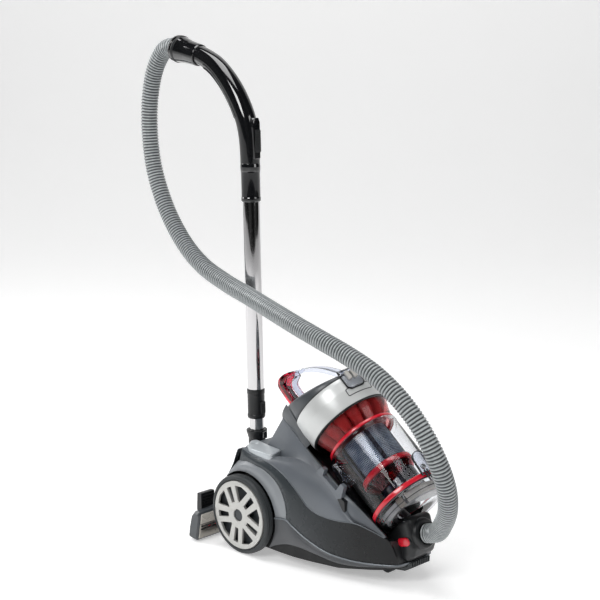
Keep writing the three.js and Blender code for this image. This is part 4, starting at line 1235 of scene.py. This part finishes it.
GRIP = [(-110.6, 0, 758), (-111, 0, 768), (-112, 0, 800), (-115, 0, 832), (-124, 0, 866),
        (-146, 0, 905), (-177, 0, 942), (-215, 0, 972), (-262, 0, 990), (-272, 0, 991.5)]


def grip_section(t):
    """A slightly squared oval that swells where the palm rests."""
    wide = 19.2 + 1.6 * math.sin(math.pi * smooth(t))
    deep = 19.6 + 1.8 * math.sin(math.pi * smooth(t * 1.1))
    power = 0.86
    out = []
    for k in range(36):
        a = 2 * math.pi * k / 36
        c, s = math.cos(a), math.sin(a)
        out.append((wide * math.copysign(abs(c) ** power, c), deep * math.copysign(abs(s) ** power, s)))
    return out


grip_path = through(GRIP, 70)
piece("grip_body", *sweep(grip_path, grip_section), PIANO, "wand_upper", "gloss_black", "hand_grip",
      angle=50)


def seam_lane(across, up):
    """A line along the grip's palm stretch, offset from its axis."""
    tangents = np.gradient(grip_path, axis=0)
    tangents /= np.linalg.norm(tangents, axis=1)[:, None]
    sideways = np.array([0, 1.0, 0])
    return (grip_path + across * sideways + up * np.cross(tangents, sideways))[26:60]


seams = [tube(seam_lane(*place), 1.1, 8) for place in ((-15.5, 15), (-19.9, 7), (15.5, 15), (19.9, 7))]
piece("grip_seams", *joined(*seams), BLACK, "wand_upper", "satin_black")
cuff_start = np.array([-262.4, 0, 988.9])
cuff_run = np.array([-71.2, 0, 12.6])
cuff_length = float(np.linalg.norm(cuff_run))
cuff_place = axis_place(cuff_start, cuff_run)
cuff = [(18, 0), (22.4, -2), (23.4, 2), (24, 12), (24.6, 30), (26.6, 48), (28.6, 60), (29, 68),
        (28.2, cuff_length), (20, cuff_length), (19.6, 66), (19.4, 50), (18, 46)]
piece("grip_cuff_body", *lathe(rounded(cuff, 1.4, 4), cuff_place, 72), PIANO, "wand_upper",
      "gloss_black", "grip_cuff")
cuff_rim = [(26.4, 55), (28.4, 56), (29.3, 60), (29.3, 61.4), (28.6, 63), (26.6, 62)]
piece("grip_cuff_rim", *lathe(rounded(cuff_rim, 0.6, 3), cuff_place, 72), BLACK, "wand_upper",
      "satin_black")

UP = WAND @ Matrix(((0, 0, 1, 0), (1, 0, 0, 0), (0, 1, 0, 0), (0, 0, 0, 1)))


def wand_block(outline_yz, x0, x1):
    """A plate on the wand's front: outline in (y, z'), from x0 to x1 out of its axis."""
    return prism(outline_yz, UP, x0, x1)


pad = rounded([(-9, 786), (9, 786), (9.5, 860), (6, 870), (-6, 870), (-9.5, 860)], 3, 4)
piece("grip_pad", *wand_block(pad, 8, 22.6), PIANO, "wand_upper", "gloss_black", bevel=2.0)
slide = [wand_block(oblong(-7, 7, 800, 846, 2), 23.2, 25.6)]
for k in range(9):
    z = 803 + 4.8 * k
    slide.append(wand_block(oblong(-6.4, 6.4, z, z + 2.4, 0.6, 2), 25.4, 27.6))
piece("suction_slider_ribs", *joined(*slide), BLACK, "suction_slider", "satin_black", "suction_slider",
      bevel=0.4)
lock = [wand_block(oblong(-6, 6, 250, 276, 2.5), 19.4, 22.4)]
for k in range(5):
    z = 254 + 4 * k
    lock.append(wand_block(oblong(-4.6, 4.6, z, z + 1.8, 0.5, 2), 22.2, 23.8))
piece("tube_lock_ribs", *joined(*lock), BLACK, "tube_lock", "satin_black", "tube_lock_button", bevel=0.4)

neck = [(15.8, 140), (17.6, 128), (18, 132), (18, 194), (18.8, 197), (21.2, 206), (22, 208), (22, 212),
        (20.4, 213), (15.8, 213)]
fork = rounded([(-8, 92), (8, 92), (17, 128), (17, 142), (-17, 142), (-17, 128)], 3, 3)
piece("neck_sleeve", *joined(lathe(rounded(neck, 0.8, 3), WAND, 64), wand_block(fork, -14, 12)),
      BLACK, "wand_lower", "satin_black")
piece("neck_latch_key", *wand_block(oblong(-5, 5, 196.4, 211, 2), 22.4, 26.8), PIANO, "neck_latch",
      "satin_black", "neck_latch", bevel=1.0)

NOZZLE_MID = [(-6, 92), (-4, 80), (-15, 6), (-20, 3), (-38, 16), (-34, 58), (-32, 86), (-24, 92)]
NOZZLE_END = [(-7, 67), (-4, 61), (-15.5, 4.5), (-19, 2.6), (-40, 5), (-36, 30), (-27, 60), (-20, 67)]
# Local x is the wand's x, local y its z', so an outline lies in the side view.
FLAT = WAND @ Matrix(((1, 0, 0, 0), (0, 0, 1, 0), (0, 1, 0, 0), (0, 0, 0, 1)))


def nozzle_loops():
    """The nozzle's outline along its width: taller in the middle, where the neck joins."""
    loops = []
    for k in range(57):
        y = -166 + 332 * k / 56
        end = abs(y) / 166
        w = smooth((end - 0.12) / 0.7)
        f = 1 - 0.16 * max(0, (end - 0.975) / 0.025) ** 2
        corners = [(a[0] * (1 - w) + b[0] * w, a[1] * (1 - w) + b[1] * w) for a, b in
                   zip(NOZZLE_MID, NOZZLE_END)]
        line = evened(rounded(corners, 2.4, 4), 89)
        centre = line.mean(axis=0)
        loops.append([FLAT @ Vector((*((centre + (p - centre) * f) / 1000), y / 1000)) for p in line])
    return loops


piece("nozzle_hood", *rings(nozzle_loops()), COVER, "nozzle", "body_grey", "nozzle_shell", angle=40)


def make_nozzle_details():
    """The chrome sole, its brushes and its thread lifters, in a frame that runs down the sole."""
    a, b = np.array([-2.6, 64]), np.array([-14, 6])
    length = np.linalg.norm(b - a)
    run = (b - a) / length
    place = WAND @ Matrix(((-run[1], 0, run[0], a[0] / 1000), (0, 1, 0, 0),
                           (run[0], 0, run[1], a[1] / 1000), (0, 0, 0, 1)))

    def plate(s0, s1, y0, y1, h0, h1):
        return prism(oblong(h0, h1, y0, y1, 0.3, 2), place, s0, s1)
    parts = [plate(2, 24, -160, 160, -1.0, 1.4), plate(38, length - 2, -160, 160, -1.0, 1.4),
             plate(26, 38, -160, -66, -1.0, 1.2), plate(26, 38, 66, 160, -1.0, 1.2)]
    # The sole's pale colour is partly a painted reflection.
    piece("sole_chrome", *joined(*parts), SOLE, "nozzle", "chrome", "sole_plate", bevel=0.3)
    strips = [plate(27.5, 30, -158, 158, 0, 4.2), plate(34.5, 37, -158, 158, 0, 4.2)]
    piece("sole_brushes", *joined(*strips), BRISTLE, "nozzle", "rubber_black")
    slots = [plate(31, 33.6, y - 3, y + 3, 0, 2.0) for y in range(-135, 136, 18)]
    piece("sole_lifters", *joined(*slots), RED, "nozzle", "red_plastic")


make_nozzle_details()
hinge = []
knuckle = rounded([(-38.6, 60), (-31, 56), (-24, 64), (-24, 98), (-36, 98)], 2.5, 4)
for low, high in ((-141, -104), (104, 141)):
    hinge.append(prism(knuckle, FLAT, low, high))
    for k in range(5):
        z = 66 + 6 * k
        hinge.append(prism(oblong(-24.6, -22.8, z, z + 2.6, 0.4, 2), FLAT, low + 3, high - 3))
piece("nozzle_hinge_covers", *joined(*hinge), BLACK, "nozzle", "satin_black", bevel=0.8)
treadle = [wand_block(rounded([(-22, 62), (22, 62), (24, 72), (22, 88), (-22, 88), (-24, 72)], 4, 4),
                      -39.6, -37.2)]
for k in range(5):
    z = 66 + 4 * k
    treadle.append(wand_block(oblong(-18, 18, z, z + 1.6, 0.4, 2), -40.2, -39.4))
piece("nozzle_pedal_cap", *joined(*treadle), BLACK, "nozzle_pedal", "satin_black", "nozzle_pedal", bevel=0.4)

# ---------------------------------------------------------------- CAD nodes that still show

KEPT = {
    "chassis_base": UNDER, "exhaust_grille": BLACK, "exhaust_filter": PAPER, "dock_bracket": BLACK,
    "cord_gland": RUBBER, "nozzle_neck": BLACK, "foam_filter": FOAM, "lid_pin": STEEL,
    "axle_right": STEEL, "axle_left": STEEL, "caster_fork": BLACK, "caster_wheel": RUBBER,
}


def finish_kept_nodes():
    """Every CAD node that still shows gets its own procedural material."""
    for name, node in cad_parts.items():
        if node.type == "MESH":
            metallic = any(word in name for word in ("spring", "shaft", "fan"))
            node.data.materials.clear()
            node.data.materials.append(KEPT.get(name, STEEL if metallic else BLACK))


finish_kept_nodes()

# ---------------------------------------------------------------- the room

def make_room():
    """A pale floor that curves up into a backdrop."""
    back = [(-6, 0)] + [(2.9 + 1.6 * math.sin(a), 1.6 - 1.6 * math.cos(a)) for a in
                        (math.pi / 2 * k / 12 for k in range(13))] + [(4.5, 7)]
    aim = Vector((-0.7053, 0.7089, 0))
    side = Vector((0.7089, 0.7053, 0))
    rows = [[aim * d + side * w + Vector((0, 0, z)) for w in (-9, 9)] for d, z in back]
    pale = plastic("floor_pale", (0.86, 0.86, 0.86, 1), 0.75, vary=0.008, depth=0.00002,
                   Emission_Color=(1, 1, 1, 1), Emission_Strength=0.38)
    add_object("room_floor", mesh_data("room_floor", *skin(rows), pale))


make_room()


def light(name, where, power, size, size_y=None, target=(0, 0, 0.4)):
    lamp = bpy.data.lights.new(name, "AREA")
    lamp.energy = power
    lamp.shape = "RECTANGLE"
    lamp.size = size
    lamp.size_y = size_y or size
    obj = add_object(name, lamp)
    obj.location = where
    obj.rotation_euler = (Vector(target) - Vector(where)).to_track_quat("-Z", "Y").to_euler()


light("key", (0.6, -3.0, 2.7), 62, 1.3, 1.6)
light("fill", (3.2, 0.8, 1.8), 30, 1.4, 2.0)
light("top", (-0.1, -0.1, 3.4), 52, 2.0)
light("rim", (-2.4, -1.2, 1.9), 34, 0.7, 2.0)


def make_world():
    """A white studio with softer, darker stretches between the bright ones."""
    world = bpy.data.worlds.new("studio")
    SCENE.world = world
    world.use_nodes = True
    tree = world.node_tree
    coords = tree.nodes.new("ShaderNodeTexCoord")
    split = tree.nodes.new("ShaderNodeSeparateXYZ")
    tree.links.new(coords.outputs["Generated"], split.inputs[0])
    value = split.outputs["X"]
    for kind, other in (("ARCTAN2", split.outputs["Y"]), ("MULTIPLY", 5.0), ("ADD", 0.8), ("SINE", None)):
        node = tree.nodes.new("ShaderNodeMath")
        node.operation = kind
        tree.links.new(value, node.inputs[0])
        if hasattr(other, "is_linked"):
            tree.links.new(other, node.inputs[1])
        elif other is not None:
            node.inputs[1].default_value = other
        value = node.outputs[0]
    level = tree.nodes.new("ShaderNodeMapRange")
    level.inputs["From Min"].default_value = -0.7
    level.inputs["From Max"].default_value = 0.7
    level.inputs["To Min"].default_value = 0.14
    level.inputs["To Max"].default_value = 0.78
    tree.links.new(value, level.inputs["Value"])
    tree.links.new(level.outputs["Result"], tree.nodes["Background"].inputs["Strength"])


make_world()
SCENE.view_settings.view_transform = "Standard"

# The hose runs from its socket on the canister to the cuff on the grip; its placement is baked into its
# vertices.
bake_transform(hose)
